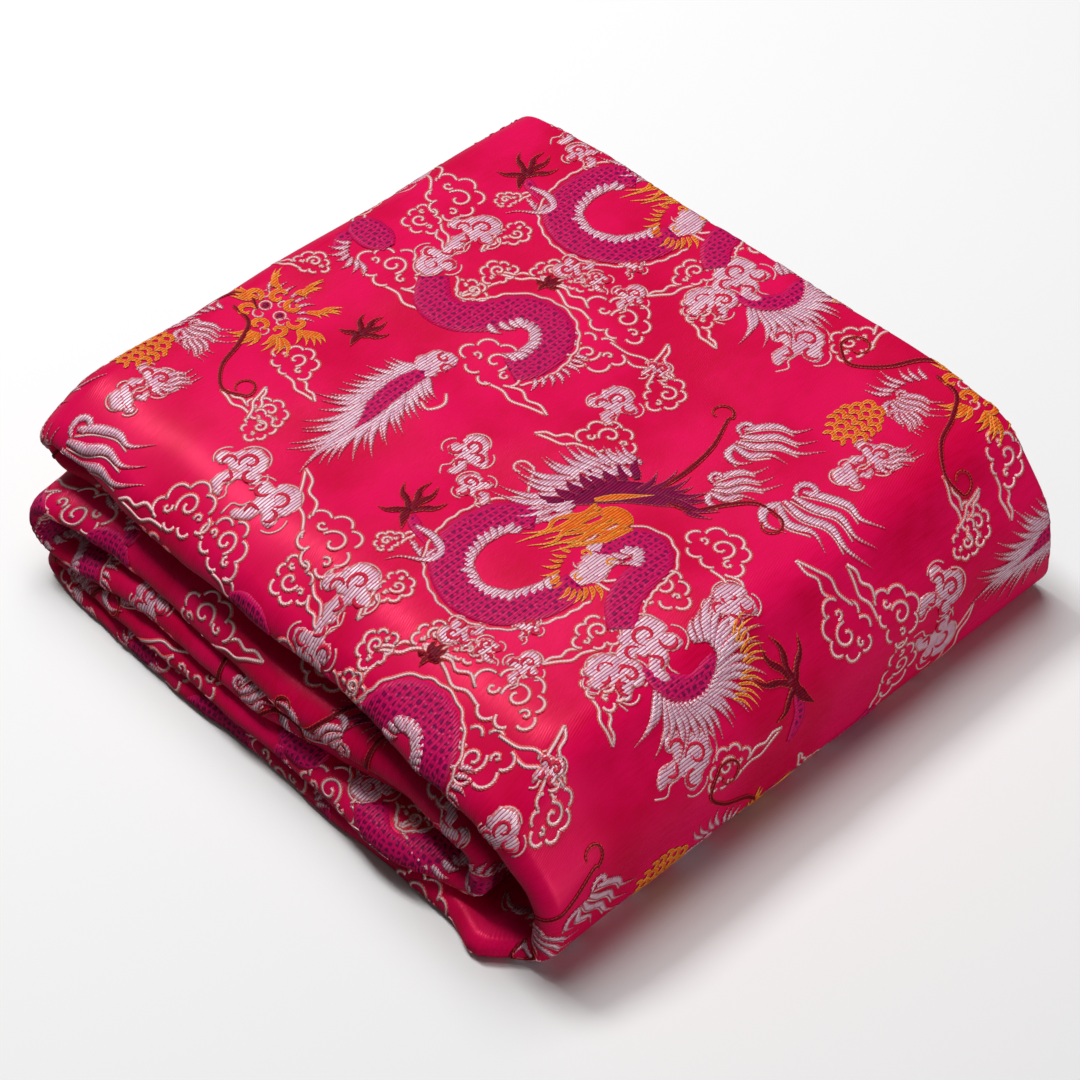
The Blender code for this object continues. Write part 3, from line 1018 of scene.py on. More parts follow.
def draw_coiled_dragon(cartoon: Cartoon) -> None:
    """The dragon whose body makes a C, with its head inside the coil.

    Args:
        cartoon: The cartoon, which gains the strokes.
    """
    cartoon.body(
        [(18.9, 10.6), (17.9, 9.8), (17.6, 8.2), (18.2, 6.6), (19.8, 5.8), (21.4, 6.3), (22.3, 7.6),
         (22.6, 9.2)],
        1.6, 1, (0.04, 0.96),
    )
    cartoon.body(
        [(22.0, 10.9), (22.1, 12.2), (23.0, 12.7), (23.9, 12.1), (24.1, 10.9), (24.5, 9.7), (25.4, 8.8)],
        1.4, -1, (0.0, 0.6),
    )
    mane = [(19.7, 15.9), (18.7, 14.6), (18.4, 13.0), (19.2, 11.0)]
    cartoon.spikes(mane, (172, 230), (1.3, 3.0), 17, 0.4)
    mane = [(20.0, 15.2), (19.2, 14.4), (19.1, 13.0), (19.6, 11.8)]
    cartoon.spikes(mane, (170, 236), (1.2, 1.9), 12, 0.4)
    cartoon.add([(19.0, 12.1), (19.6, 13.5), (20.7, 14.6), (22.2, 15.2)], 1.2, Yarn.PLUM, Shape.ROUND)
    crest = [(18.9, 11.9), (19.2, 13.2), (19.8, 14.6), (20.2, 15.2)]
    cartoon.spikes(crest, (212, 126), (1.1, 1.2), 8, 0.5, Yarn.PLUM)
    crest = [(20.4, 14.4), (21.4, 15.2), (22.4, 15.2)]
    cartoon.spikes(crest, (104, 6), (1.6, 1.7), 8, 0.36, Yarn.PLUM, -0.14)
    cartoon.add([(19.7, 13.0), (20.3, 13.9), (21.2, 14.9)], 0.34, Yarn.ORANGE, Shape.LEAF)
    cartoon.add([(20.3, 12.7), (20.9, 13.1), (21.7, 13.0)], 0.8, Yarn.ORANGE, Shape.ROUND)
    for k in range(9):
        across = 0.25 * k
        length = 3.3 - 0.1 * k + 0.6 * (k % 2)
        bend = 0.16 * math.cos(2.1 * k)
        cartoon.add(
            [
                (19.9 + across, 12.9),
                (19.8 + across + bend, 12.9 - length * 0.25),
                (19.55 + across - bend, 12.9 - length * 0.5),
                (19.45 + across * 0.9 + bend, 12.9 - length * 0.75),
                (19.1 + across * 0.85, 12.9 - length),
            ],
            0.3, Yarn.ORANGE, Shape.LEAF,
        )
    for eye in ((20.6, 12.9), (21.3, 13.0)):
        cartoon.add(arc(*eye, 0.19, 0, 350, 9), 0.15, Yarn.SPIKES)
    cartoon.add([(21.4, 11.4), (22.2, 10.8), (22.5, 9.9), (22.2, 9.1)], 1.5, Yarn.SILVER, Shape.MASS)
    cartoon.curls(
        [(21.8, 11.1), (22.3, 10.5), (22.6, 9.9), (21.9, 10.1), (22.2, 9.3)], Yarn.CORD, 0.32, 0.14,
    )
    cartoon.curls([(21.6, 10.6), (22.7, 10.9), (22.4, 9.5)], Yarn.ORANGE, 0.24, 0.13)
    tips = [(21.8, 8.9), (22.6, 8.9), (23.2, 9.7)]
    cartoon.spikes(tips, (240, 330), (0.6, 1.0), 9, 0.2, Yarn.ORANGE)
    tips = [(21.1, 10.4), (21.4, 9.5), (21.9, 8.9)]
    cartoon.spikes(tips, (190, 260), (0.6, 0.8), 6, 0.18, Yarn.ORANGE)
    cartoon.add([(17.6, 11.4), (16.9, 12.4), *spiral(16.5, 12.1, 0.4, 60, 250, 0.5)], 0.16, Yarn.CORD)
    cartoon.whisker([(21.1, 15.3), (21.2, 16.8), (21.0, 18.4), (20.4, 19.9)],
                    spiral(19.9, 20.0, 0.6, 10, 260, 0.4))
    cartoon.whisker([(21.8, 14.9), (22.9, 15.3), (23.6, 16.4), (24.4, 17.3), (25.5, 17.4)],
                    spiral(25.5, 16.8, 0.55, 60, -250, 0.45))
    cartoon.claw(Spot(15.2, 7.3, 1.45, 112))
    cartoon.add([(15.4, 7.2), (16.2, 6.8), (17.0, 6.5)], 0.55, Yarn.SCALES, Shape.LEAF)
    cartoon.add([(16.0, 6.9), (16.9, 7.0), (17.7, 6.7), (17.6, 6.0), (16.8, 5.4), (16.5, 4.8)],
                0.42, Yarn.SPIKES, Shape.LEAF)
    cartoon.spikes([(16.8, 6.3), (17.4, 5.9), (17.7, 6.6)], (190, 10), (0.6, 0.8), 6, 0.26)


def draw_running_dragon(cartoon: Cartoon) -> None:
    """The dragon whose body runs in an S and ends in a long tail.

    Args:
        cartoon: The cartoon, which gains the strokes.
    """
    cartoon.body(
        [(5.7, 17.4), (6.8, 16.4), (8.0, 16.4), (9.0, 17.4), (9.7, 18.7), (11.0, 19.0), (12.1, 18.2),
         (12.4, 16.8), (12.0, 15.8)],
        1.8, -1, (0.38, 0.98),
    )
    cartoon.spikes([(13.3, 18.4), (13.5, 17.2), (13.1, 16.0)], (25, -62), (0.7, 0.9), 8, 0.26)
    cartoon.add([(0.4, 17.7), (1.6, 17.5), (2.9, 17.4)], 1.7, Yarn.SCALES, Shape.ROUND)
    cartoon.add([(0.9, 16.9), (1.1, 16.2), (1.3, 15.5)], 0.8, Yarn.SCALES, Shape.LEAF)
    cartoon.spikes([(1.4, 16.6), (2.0, 15.9), (2.9, 15.9)], (200, 330), (0.8, 1.0), 7, 0.3)
    cartoon.add([(9.7, 13.4), (9.6, 12.0), (9.8, 10.6), (10.3, 9.0)], 1.15, Yarn.SCALES, Shape.ROUND)
    tail_left = [(9.4, 13.4), (9.2, 12.0), (9.4, 10.5), (10.2, 8.9)]
    tail_right = [(10.0, 13.2), (10.1, 12.0), (10.3, 10.4), (10.4, 8.9)]
    cartoon.spikes(tail_left[:3], (204, 234), (1.2, 2.5), 12, 0.38, bow=0.1)
    cartoon.spikes(tail_left[2:], (236, 266), (2.5, 3.0), 7, 0.38, bow=0.1)
    cartoon.spikes(tail_right[:3], (-24, -54), (1.2, 2.5), 12, 0.38, bow=-0.1)
    cartoon.spikes(tail_right[2:], (-56, -86), (2.5, 3.0), 7, 0.38, bow=-0.1)
    cartoon.claw(Spot(9.3, 20.5, 0.65, 80))
    cartoon.add([(9.9, 13.0), (9.5, 13.8), (10.0, 14.8)], 1.5, Yarn.SILVER, Shape.MASS)
    cartoon.curls([(9.5, 13.6), (10.1, 14.0), (9.6, 14.4)], Yarn.NOTCH, 0.3, 0.14)
    cartoon.add([(10.9, 11.9), (11.4, 11.8), (11.6, 12.5), (11.2, 13.0)], 0.18, Yarn.CORD)
    tufts = (
        (1.2, 12.2, 130), (2.2, 12.6, 75), (3.4, 12.2, 35), (4.0, 11.2, -20),
        (3.6, 10.2, -60), (2.6, 9.8, -100), (0.9, 11.2, 190),
    )
    for x, y, bearing in tufts:
        spread = (bearing - 30, bearing + 30)
        cartoon.spikes([(x, y), (x + 0.5, y + 0.2)], spread, (0.9, 1.3), 5, 0.24, Yarn.ORANGE)
    cartoon.spikes([(1.2, 11.9), (2.4, 12.3), (3.6, 11.6)], (120, 20), (0.8, 1.0), 8, 0.2)
    cartoon.curls(
        [(1.1, 11.3), (1.9, 12.0), (2.8, 12.1), (3.7, 11.5), (3.5, 10.6), (2.6, 10.3), (1.6, 10.5)],
        Yarn.ORANGE, 0.42, 0.26,
    )
    curls = [(2.4, 11.8), (3.2, 11.1), (2.1, 10.8), (1.3, 11.8), (3.0, 10.2)]
    cartoon.curls(curls, Yarn.CORD, 0.34, 0.13)
    for eye in ((1.9, 11.3), (2.8, 11.3)):
        cartoon.disc(*eye, 0.42, Yarn.PLUM)
        cartoon.add(arc(*eye, 0.26, 0, 350, 9), 0.11, Yarn.CORD)
    cartoon.spikes([(0.9, 10.0), (0.4, 9.0), (0.4, 8.0)], (150, 220), (0.8, 1.4), 7, 0.26)
    cartoon.flames(Spot(1.3, 7.7, 1.6, -30))
    cartoon.whisker([(1.0, 10.3), (2.2, 10.1), (3.0, 8.9), (3.6, 7.5), (4.7, 6.6), (5.7, 6.9)],
                    spiral(5.3, 7.2, 0.6, -10, 260, 0.5))
    cartoon.whisker([(1.8, 10.9), (1.0, 11.2), (0.0, 10.6), (-0.8, 9.2), (-2.0, 8.3), (-3.0, 8.9)],
                    spiral(-2.4, 9.3, 0.7, 200, -300, 0.4))
    cartoon.claw(Spot(6.2, 12.8, 1.15, 100))


def draw_tails_and_flames(cartoon: Cartoon) -> None:
    """The loose tail, the flames and the flaming cone between the dragons.

    Args:
        cartoon: The cartoon, which gains the strokes.
    """
    cartoon.add([(27.2, 8.0), (28.2, 8.4), (28.9, 9.5), (28.4, 10.8)], 1.05, Yarn.SCALES, Shape.ROUND)
    fan = [(27.8, 10.9), (28.6, 10.8), (29.3, 9.6), (28.9, 8.3), (28.0, 7.8)]
    cartoon.spikes(fan, (126, -66), (2.4, 2.3), 23, 0.38)
    cartoon.spikes([(27.6, 10.4), (27.9, 11.0)], (146, 118), (1.2, 2.0), 5)
    tips = [(28.2, 11.9), (29.4, 11.7), (30.3, 10.6)]
    cartoon.spikes(tips, (112, 24), (1.2, 1.3), 13, 0.13, Yarn.ORANGE)
    cartoon.curls([(27.2, 12.0), (27.6, 11.2)], Yarn.CORD, 0.3, 0.14)
    for row in FLAMES:
        cartoon.flames(Spot(*row))
    for row, wide in enumerate(CONE_ROWS):
        for k in range(wide):
            x = 24.0 + (k - (wide - 1) / 2.0) * 0.5
            cartoon.add(arc(x, 22.2 + row * 0.4, 0.24, 200, -10, 5), 0.22, Yarn.ORANGE, Shape.ROUND)
    cartoon.claw(Spot(31.4, 13.5, 1.9, 200))
    cartoon.add([(31.6, 13.4), (32.6, 13.3), (33.6, 12.6)], 0.6, Yarn.SCALES, Shape.ROUND)


def draw_clouds(cartoon: Cartoon) -> None:
    """The outlined and the filled clouds.

    Args:
        cartoon: The cartoon, which gains the strokes.
    """
    for row in LINE_CLOUDS:
        cartoon.cloud_line(Spot(*row))
    for row in FILL_CLOUDS:
        cartoon.cloud_fill(Spot(*row))


# The values of each motif's Spot: a flame's size is its length, and a cloud's is half its width.
FLAMES = (
    (25.0, 18.2, 4.5, 0),
    (21.5, 19.2, 3.5, 28),
    (22.6, 16.6, 2.8, 40),
    (24.2, 25.6, 2.2, 10),
    (26.2, 22.6, 1.8, 50),
)

LINE_CLOUDS = (
    (2.4, 21.6, 1.5, -40, 1),
    (2.6, 19.7, 1.0, 150, 1),
    (4.0, 16.5, 1.45, 0, -1),
    (7.4, 19.6, 0.8, 80, 1),
    (7.5, 17.9, 0.8, -20, -1),
    (13.0, 21.2, 1.5, -5, 1),
    (13.6, 19.0, 1.3, 190, 1),
    (11.3, 15.6, 1.45, 0, -1),
    (25.2, 14.3, 1.35, -8, -1),
    (25.0, 11.2, 1.15, 20, 1),
    (24.9, 8.0, 1.0, 70, 1),
    (26.8, 6.3, 0.95, -20, -1),
    (7.4, 6.2, 0.8, -60, 1),
    (8.2, 1.6, 1.3, 10, 1),
    (10.8, 1.4, 1.2, -20, -1),
    (5.6, 9.7, 1.1, -10, -1),
    (17.3, 19.4, 1.1, -60, 1),
    (17.7, 15.7, 1.15, 30, 1),
    (30.9, 16.8, 1.35, -160, -1),
    (32.6, 9.4, 1.05, 100, -1),
    (30.6, 24.6, 0.9, 0, 1),
    (10.2, 21.6, 0.7, 20, 1),
    (6.0, 21.8, 0.8, -80, -1),
    (1.3, 14.4, 0.8, 20, 1),
    (20.6, 3.6, 0.8, 40, 1),
    (15.9, 5.6, 0.6, 90, -1),
)

FILL_CLOUDS = (
    (19.3, 25.4, 1.3, 4, 1),
    (4.8, 20.7, 1.15, 4, 1),
    (5.0, 18.2, 1.05, 180, -1),
    (16.2, 20.2, 0.6, -20, 1),
    (16.5, 17.4, 1.0, 30, 1),
    (14.4, 11.3, 1.0, 10, -1),
    (15.9, 10.1, 0.8, 70, -1),
    (26.5, 9.0, 1.3, 70, 1),
    (26.9, 7.2, 1.0, -20, 1),
    (8.7, 4.3, 1.15, 0, 1),
    (11.0, 3.8, 1.2, -30, -1),
    (2.3, 5.0, 0.9, -20, 1),
    (2.3, 3.5, 0.75, 150, 1),
    (27.3, 12.7, 1.0, 60, 1),
    (22.8, 6.4, 0.55, 20, 1),
    (22.4, 4.6, 0.6, 60, 1),
    (9.4, 22.0, 0.75, 150, 1),
    (12.3, 22.6, 0.75, 10, 1),
    (14.8, 24.6, 1.0, 80, -1),
)


Socket = bpy.types.NodeSocket
Value = float | Socket
Colour = tuple[float, float, float, float]
Given = dict[str | int, Value | Colour | tuple]


def linear(red: int, green: int, blue: int) -> Colour:
    """A display colour as the shader's linear colour.

    Args:
        red: Its red, from 0 to 255.
        green: Its green.
        blue: Its blue.

    Returns:
        The linear colour.
    """
    shares = [channel / 255.0 for channel in (red, green, blue)]
    made = [c / 12.92 if c <= 0.04045 else ((c + 0.055) / 1.055) ** 2.4 for c in shares]
    return (*made, 1.0)


@dataclass
class Bench:
    """A node tree, built by short calls."""

    tree: bpy.types.NodeTree

    def feed(self, target: Socket, value: Value | Colour | tuple) -> None:
        """Links a socket to an input, or sets the input to a constant.

        Args:
            target: The input.
            value: The socket or the constant.
        """
        if isinstance(value, bpy.types.NodeSocket):
            self.tree.links.new(value, target)
        else:
            target.default_value = value

    def node(self, kind: str, given: Given | None = None, **settings: object) -> bpy.types.NodeOutputs:
        """Adds a node.

        Args:
            kind: Its type.
            given: What its inputs get, by their names or numbers.
            settings: Its properties.

        Returns:
            Its outputs.
        """
        node = self.tree.nodes.new(kind)
        for name, setting in settings.items():
            setattr(node, name, setting)
        for name, value in (given or {}).items():
            self.feed(node.inputs[name], value)
        return node.outputs

    def math(self, operation: str, *values: Value) -> Socket:
        """The result of a Math node."""
        return self.node("ShaderNodeMath", dict(enumerate(values)), operation=operation)[0]

    def ramp(self, value: Value, low: float, high: float) -> Socket:
        """A smooth step, 0 at low and 1 at high; it falls where low is above high."""
        given = {"Value": value, "From Min": low, "From Max": high}
        return self.node("ShaderNodeMapRange", given, interpolation_type="SMOOTHSTEP")["Result"]

    def mix(self, share: Value, first: Socket | Colour, second: Socket | Colour) -> Socket:
        """A blend of two colours, the first where the share is 0 and the second where it is 1."""
        return self.node("ShaderNodeMix", {0: share, 6: first, 7: second}, data_type="RGBA")[2]

    def noise(self, place: Socket, scale: float, detail: float = 2.0) -> Socket:
        """Smooth noise from 0 to 1 at a place, which is in metres."""
        given = {"Vector": place, "Scale": scale, "Detail": detail}
        return self.node("ShaderNodeTexNoise", given)["Fac"]

    def dice(self, first: Value, second: Value = 0.0) -> Socket:
        """A number from 0 to 1 that stays the same for the same two whole numbers."""
        pair = {"Vector": self.node("ShaderNodeCombineXYZ", {0: first, 1: second})[0]}
        return self.node("ShaderNodeTexWhiteNoise", pair, noise_dimensions="2D")["Value"]

    def parts(self, vector: Socket) -> tuple[Socket, Socket, Socket]:
        """The three numbers of a vector."""
        return tuple(self.node("ShaderNodeSeparateXYZ", {0: vector}))

    def attribute(self, name: str) -> Socket:
        """The vector in one of the piece's own attributes."""
        return self.node("ShaderNodeAttribute", attribute_name=name)["Vector"]

    def bump(self, shader: bpy.types.Node, height: Socket, distance: float, strength: float) -> None:
        """Bumps a material's surface.

        Args:
            shader: The material's shader.
            height: How high the surface stands, from 0 to 1.
            distance: What a height of 1 means, in metres.
            strength: How strongly it shows.
        """
        given = {"Height": height, "Distance": distance, "Strength": strength}
        self.feed(shader.inputs["Normal"], self.node("ShaderNodeBump", given)[0])


def new_group(name: str, inputs: Iterable[tuple[str, str]], outputs: Iterable[tuple[str, str]]) -> Bench:
    """An empty node group with its sockets.

    Args:
        name: The group's name.
        inputs: Each input's name and kind, "Float" or "Vector".
        outputs: Each output's name and kind.

    Returns:
        The group's tree.
    """
    tree = bpy.data.node_groups.new(name, "ShaderNodeTree")
    for in_out, sockets in (("INPUT", inputs), ("OUTPUT", outputs)):
        for socket, kind in sockets:
            tree.interface.new_socket(socket, in_out=in_out, socket_type=f"NodeSocket{kind}")
    return Bench(tree)


@dataclass
class WeaveEffects:
    """The shader groups that the finishes share."""

    floats: bpy.types.NodeTree = field(init=False)
    dotted: bpy.types.NodeTree = field(init=False)
    threads: bpy.types.NodeTree = field(init=False)

    def __post_init__(self) -> None:
        """Builds each group once."""
        self.floats = self.build_floats()
        self.dotted = self.build_dotted()
        self.threads = self.build_threads()

    @staticmethod
    def build_floats() -> bpy.types.NodeTree:
        """Broken weft floats in ribs along the cloth's width.

        Returns:
            The group. Place is in metres; Cover is 1 on yarn and 0 in the gaps.
        """
        bench = new_group(
            "weft_floats",
            [("Place", "Vector"), ("Pitch", "Float"), ("Length", "Float")],
            [("Cover", "Float"), ("Height", "Float"), ("Tint", "Float")],
        )
        given = bench.node("NodeGroupInput")
        x, y, _ = bench.parts(given["Place"])
        wobble = bench.math("MULTIPLY", bench.noise(given["Place"], 160.0), 0.7)
        ribs = bench.math("ADD", bench.math("DIVIDE", x, given["Pitch"]), wobble)
        rib = bench.math("FLOOR", ribs)
        within = bench.math("FRACT", ribs)
        runs = bench.math("DIVIDE", y, given["Length"])
        runs = bench.math("ADD", runs, bench.math("MULTIPLY", bench.dice(rib), 7.0))
        run = bench.math("FLOOR", runs)
        along = bench.math("FRACT", runs)
        arch = bench.math("SINE", bench.math("MULTIPLY", within, math.pi))
        start = bench.ramp(along, 0.0, 0.1)
        end = bench.ramp(along, 1.0, 0.9)
        ends = bench.math("MULTIPLY", start, end)
        height = bench.math("MULTIPLY", arch, bench.math("MULTIPLY_ADD", ends, 0.55, 0.45))
        cover = bench.ramp(height, 0.22, 0.6)
        made = {"Cover": cover, "Height": height, "Tint": bench.dice(rib, run)}
        bench.node("NodeGroupOutput", made)
        return bench.tree

    @staticmethod
    def build_dotted() -> bpy.types.NodeTree:
        """A dotted line just inside a stroke's edges.

        Returns:
            The group. Stroke holds the places along and across and the half width, in metres.
        """
        bench = new_group(
            "dotted_line",
            [("Stroke", "Vector"), ("Inset", "Float"), ("Width", "Float"), ("Pitch", "Float")],
            [("Mask", "Float"), ("Edge", "Float")],
        )
        given = bench.node("NodeGroupInput")
        along, across, half = bench.parts(given["Stroke"])
        edge = bench.math("SUBTRACT", half, bench.math("ABSOLUTE", across))
        off = bench.math("ABSOLUTE", bench.math("SUBTRACT", edge, given["Inset"]))
        off = bench.math("DIVIDE", off, given["Width"])
        line = bench.math("SUBTRACT", 1.0, bench.ramp(off, 0.35, 0.6))
        beat = bench.math("FRACT", bench.math("DIVIDE", along, given["Pitch"]))
        dots = bench.ramp(bench.math("ABSOLUTE", bench.math("SUBTRACT", beat, 0.5)), 0.42, 0.3)
        dots = bench.math("MULTIPLY_ADD", dots, 0.8, 0.2)
        bench.node("NodeGroupOutput", {"Mask": bench.math("MULTIPLY", line, dots), "Edge": edge})
        return bench.tree

    @staticmethod
    def build_threads() -> bpy.types.NodeTree:
        """The satin's fine threads, with slubs along them.

        Returns:
            The group. Place is in metres.
        """
        bench = new_group(
            "satin_threads",
            [("Place", "Vector"), ("Pitch", "Float")],
            [("Height", "Float"), ("Streak", "Float")],
        )
        given = bench.node("NodeGroupInput")
        x, y, _ = bench.parts(given["Place"])
        twill = bench.math("ADD", x, bench.math("MULTIPLY", y, 0.35))
        thread = bench.math("DIVIDE", twill, given["Pitch"])
        arch = bench.math("SINE", bench.math("MULTIPLY", thread, math.tau))
        stretch = {"Vector": given["Place"], "Scale": (1.0, 0.12, 1.0)}
        streak = bench.noise(bench.node("ShaderNodeMapping", stretch)[0], 900.0, 3.0)
        bench.node("NodeGroupOutput", {"Height": arch, "Streak": streak})
        return bench.tree

    @staticmethod
    def use(bench: Bench, tree: bpy.types.NodeTree, **values: Value) -> bpy.types.NodeOutputs:
        """Places a group in a material, with its inputs, and gives its outputs."""
        return bench.node("ShaderNodeGroup", values, node_tree=tree)


def new_material(name: str) -> tuple[bpy.types.Material, Bench, bpy.types.Node]:
    """Makes a material.

    Args:
        name: Its name.

    Returns:
        The material, its tree and its shader.
    """
    material = bpy.data.materials.new(name)
    material.use_nodes = True
    return material, Bench(material.node_tree), material.node_tree.nodes["Principled BSDF"]


@dataclass(frozen=True)
class SatinGround:
    """The crimson satin between the motifs."""

    bright: Colour = linear(232, 14, 88)
    deep: Colour = linear(198, 1, 52)
    sheen: Colour = linear(255, 70, 110)
    specular: float = 0.55
    roughness: float = 0.26
    streak_roughness: float = 0.12
    streak_share: float = 0.35  # how far the streaks darken it
    mottle_share: float = 0.6  # how far the mottling darkens it
    mottle_scale: float = 24.0
    thread_pitch: float = 0.0009
    relief: float = 0.00003
    relief_strength: float = 0.6

    def build(self, effects: WeaveEffects) -> bpy.types.Material:
        """Makes the material.

        Args:
            effects: The shared shader groups.

        Returns:
            The material.
        """
        material, bench, shader = new_material("crimson_satin")
        place = bench.attribute("flat")
        threads = effects.use(bench, effects.threads, Place=place, Pitch=self.thread_pitch)
        mottling = bench.ramp(bench.noise(place, self.mottle_scale, 3.0), 0.36, 0.66)
        mottling = bench.math("MULTIPLY", mottling, self.mottle_share)
        streaks = bench.ramp(threads["Streak"], 0.3, 0.75)
        share = bench.math("MULTIPLY_ADD", streaks, self.streak_share, mottling)
        bench.feed(shader.inputs["Base Color"], bench.mix(share, self.bright, self.deep))
        rough = bench.math("MULTIPLY_ADD", streaks, self.streak_roughness, self.roughness)
        bench.feed(shader.inputs["Roughness"], rough)
        bench.bump(shader, threads["Height"], self.relief, self.relief_strength)
        shader.inputs["Specular IOR Level"].default_value = self.specular
        shader.inputs["Specular Tint"].default_value = self.sheen
        return material


@dataclass(frozen=True)
class YarnFinish:
    """A brocading yarn: ribs of floats on the ground, with a dotted line along its edges."""

    name: str
    light: Colour
    shaded: Colour
    line: Colour
    gap: Colour = linear(204, 10, 64)  # of the ground between the floats
    roughness: float = 0.45
    metallic: float = 0.0
    rib_pitch: float = 0.00115
    float_length: float = 0.008
    inset: float = 0.0004
    line_width: float = 0.0006
    dot_pitch: float = 0.0013
    specular: float = 0.5
    relief: float = 0.0003
    relief_strength: float = 0.8
    scale_size: float = 0.0  # metres across a scale; 0 for none

    def build(self, effects: WeaveEffects) -> bpy.types.Material:
        """Makes the material.

        Args:
            effects: The shared shader groups.

        Returns:
            The material.
        """
        material, bench, shader = new_material(self.name)
        place = bench.attribute("flat")
        stroke = bench.attribute("stroke")
        floats = effects.use(
            bench, effects.floats, Place=place, Pitch=self.rib_pitch, Length=self.float_length
        )
        dotted = effects.use(
            bench, effects.dotted,
            Stroke=stroke, Inset=self.inset, Width=self.line_width, Pitch=self.dot_pitch,
        )
        if self.scale_size:
            given = {"Vector": place, "Scale": 1.0 / self.scale_size, "Randomness": 0.6}
            kind = {"voronoi_dimensions": "2D", "feature": "DISTANCE_TO_EDGE"}
            cells = bench.node("ShaderNodeTexVoronoi", given, **kind)
            seam = bench.ramp(cells["Distance"], 0.28, 0.16)
            rim = bench.ramp(dotted["Edge"], 0.0017, 0.0012)
            seam = bench.math("MAXIMUM", seam, rim)
            colour = bench.mix(seam, self.shaded, self.light)
        else:
            tint = bench.math("MULTIPLY_ADD", floats["Tint"], 0.7, -0.05)
            yarn = bench.mix(tint, self.light, self.shaded)
            colour = bench.mix(floats["Cover"], self.gap, yarn)
        colour = bench.mix(dotted["Mask"], colour, self.line)
        bench.feed(shader.inputs["Base Color"], colour)
        shader.inputs["Roughness"].default_value = self.roughness
        shader.inputs["Specular IOR Level"].default_value = self.specular
        if self.metallic:
            metal = bench.math("MULTIPLY", floats["Cover"], self.metallic)
            bench.feed(shader.inputs["Metallic"], metal)
        bench.bump(shader, floats["Height"], self.relief, self.relief_strength)
        return material


@dataclass(frozen=True)
class CordFinish:
    """The outline: a silver cord in painted highlight and shade, with a dotted gold thread along one
    side.
    """

    # silver is the cord's colour in painted highlight; shade is the same silver in painted shade
    silver: Colour = linear(252, 214, 216)
    shade: Colour = linear(230, 132, 142)
    gold: Colour = linear(240, 124, 98)
    ground: Colour = linear(206, 8, 66)
    roughness: float = 0.36
    metallic: float = 0.1
    twist_pitch: float = 0.0011
    relief: float = 0.0003
    relief_strength: float = 0.7

    def build(self, effects: WeaveEffects) -> bpy.types.Material:
        """Makes the material.

        Args:
            effects: The shared shader groups.

        Returns:
            The material.
        """
        material, bench, shader = new_material("silver_cord")
        along, across, half = bench.parts(bench.attribute("stroke"))
        side = bench.math("DIVIDE", across, half)
        twist = bench.math("ADD", bench.math("DIVIDE", along, self.twist_pitch), side)
        beat = bench.math("SINE", bench.math("MULTIPLY", twist, math.tau))
        cord_off = bench.math("ABSOLUTE", bench.math("ADD", side, 0.32))
        cord = bench.ramp(cord_off, 0.8, 0.62)
        # painted highlight along the cord's middle and on each twist, painted shade towards its edges;
        # it also sets the bump
        shine_and_relief = bench.math("MULTIPLY_ADD", beat, 0.3, bench.math("MULTIPLY_ADD", cord_off, -1.2, 1.0))
        gold_off = bench.math("ABSOLUTE", bench.math("SUBTRACT", side, 0.78))
        dots = bench.ramp(beat, -0.3, 0.3)
        gold = bench.math("MULTIPLY", bench.ramp(gold_off, 0.3, 0.18), dots)
        beside = bench.mix(gold, self.ground, self.gold)
        # the cord's silver in painted highlight and painted shade
        silver = bench.mix(bench.ramp(shine_and_relief, 0.1, 0.7), self.shade, self.silver)
        bench.feed(shader.inputs["Base Color"], bench.mix(cord, beside, silver))
        shader.inputs["Roughness"].default_value = self.roughness
        bench.feed(shader.inputs["Metallic"], bench.math("MULTIPLY", cord, self.metallic))
        height = bench.math("MULTIPLY", shine_and_relief, cord)
        bench.bump(shader, height, self.relief, self.relief_strength)
        return material


FINISHES = {
    Yarn.CORD: CordFinish(),
    Yarn.SILVER: YarnFinish(
        "lilac_silver", linear(248, 216, 228), linear(212, 150, 180), linear(232, 116, 110),
        linear(184, 64, 108), 0.32, 0.1,
    ),
    Yarn.NOTCH: YarnFinish(
        "crimson_notch", linear(214, 12, 70), linear(196, 6, 60), linear(214, 34, 66), specular=0.2,
    ),
    Yarn.SCALES: YarnFinish(
        "magenta_scales", linear(208, 10, 92), linear(128, 2, 74), linear(206, 20, 90),
        roughness=0.42, specular=0.2, scale_size=0.0024,
    ),
    Yarn.SPIKES: YarnFinish(
        "silver_spikes", linear(246, 218, 230), linear(212, 156, 184), linear(208, 72, 88),
        linear(190, 78, 118), 0.32, 0.1, 0.00105, 0.006, 0.0002, 0.0007,
    ),
    Yarn.PLUM: YarnFinish(
        "plum_yarn", linear(146, 4, 72), linear(112, 0, 60), linear(214, 80, 96),
        linear(92, 0, 46), 0.45, 0.0, 0.00105, 0.006, 0.0001, 0.0004, specular=0.15,
    ),
    Yarn.ORANGE: YarnFinish(
        "orange_yarn", linear(246, 132, 24), linear(228, 88, 14), linear(250, 186, 80),
        linear(206, 44, 20), 0.42, 0.0, 0.00105, 0.005, 0.0001, 0.0004, specular=0.25,
    ),
    Yarn.MAROON: YarnFinish(
        "maroon_yarn", linear(132, 2, 34), linear(100, 0, 28), linear(214, 62, 50),
        linear(92, 0, 26), 0.45, 0.0, 0.00105, 0.005, 0.0001, 0.0004, specular=0.15,
    ),
}


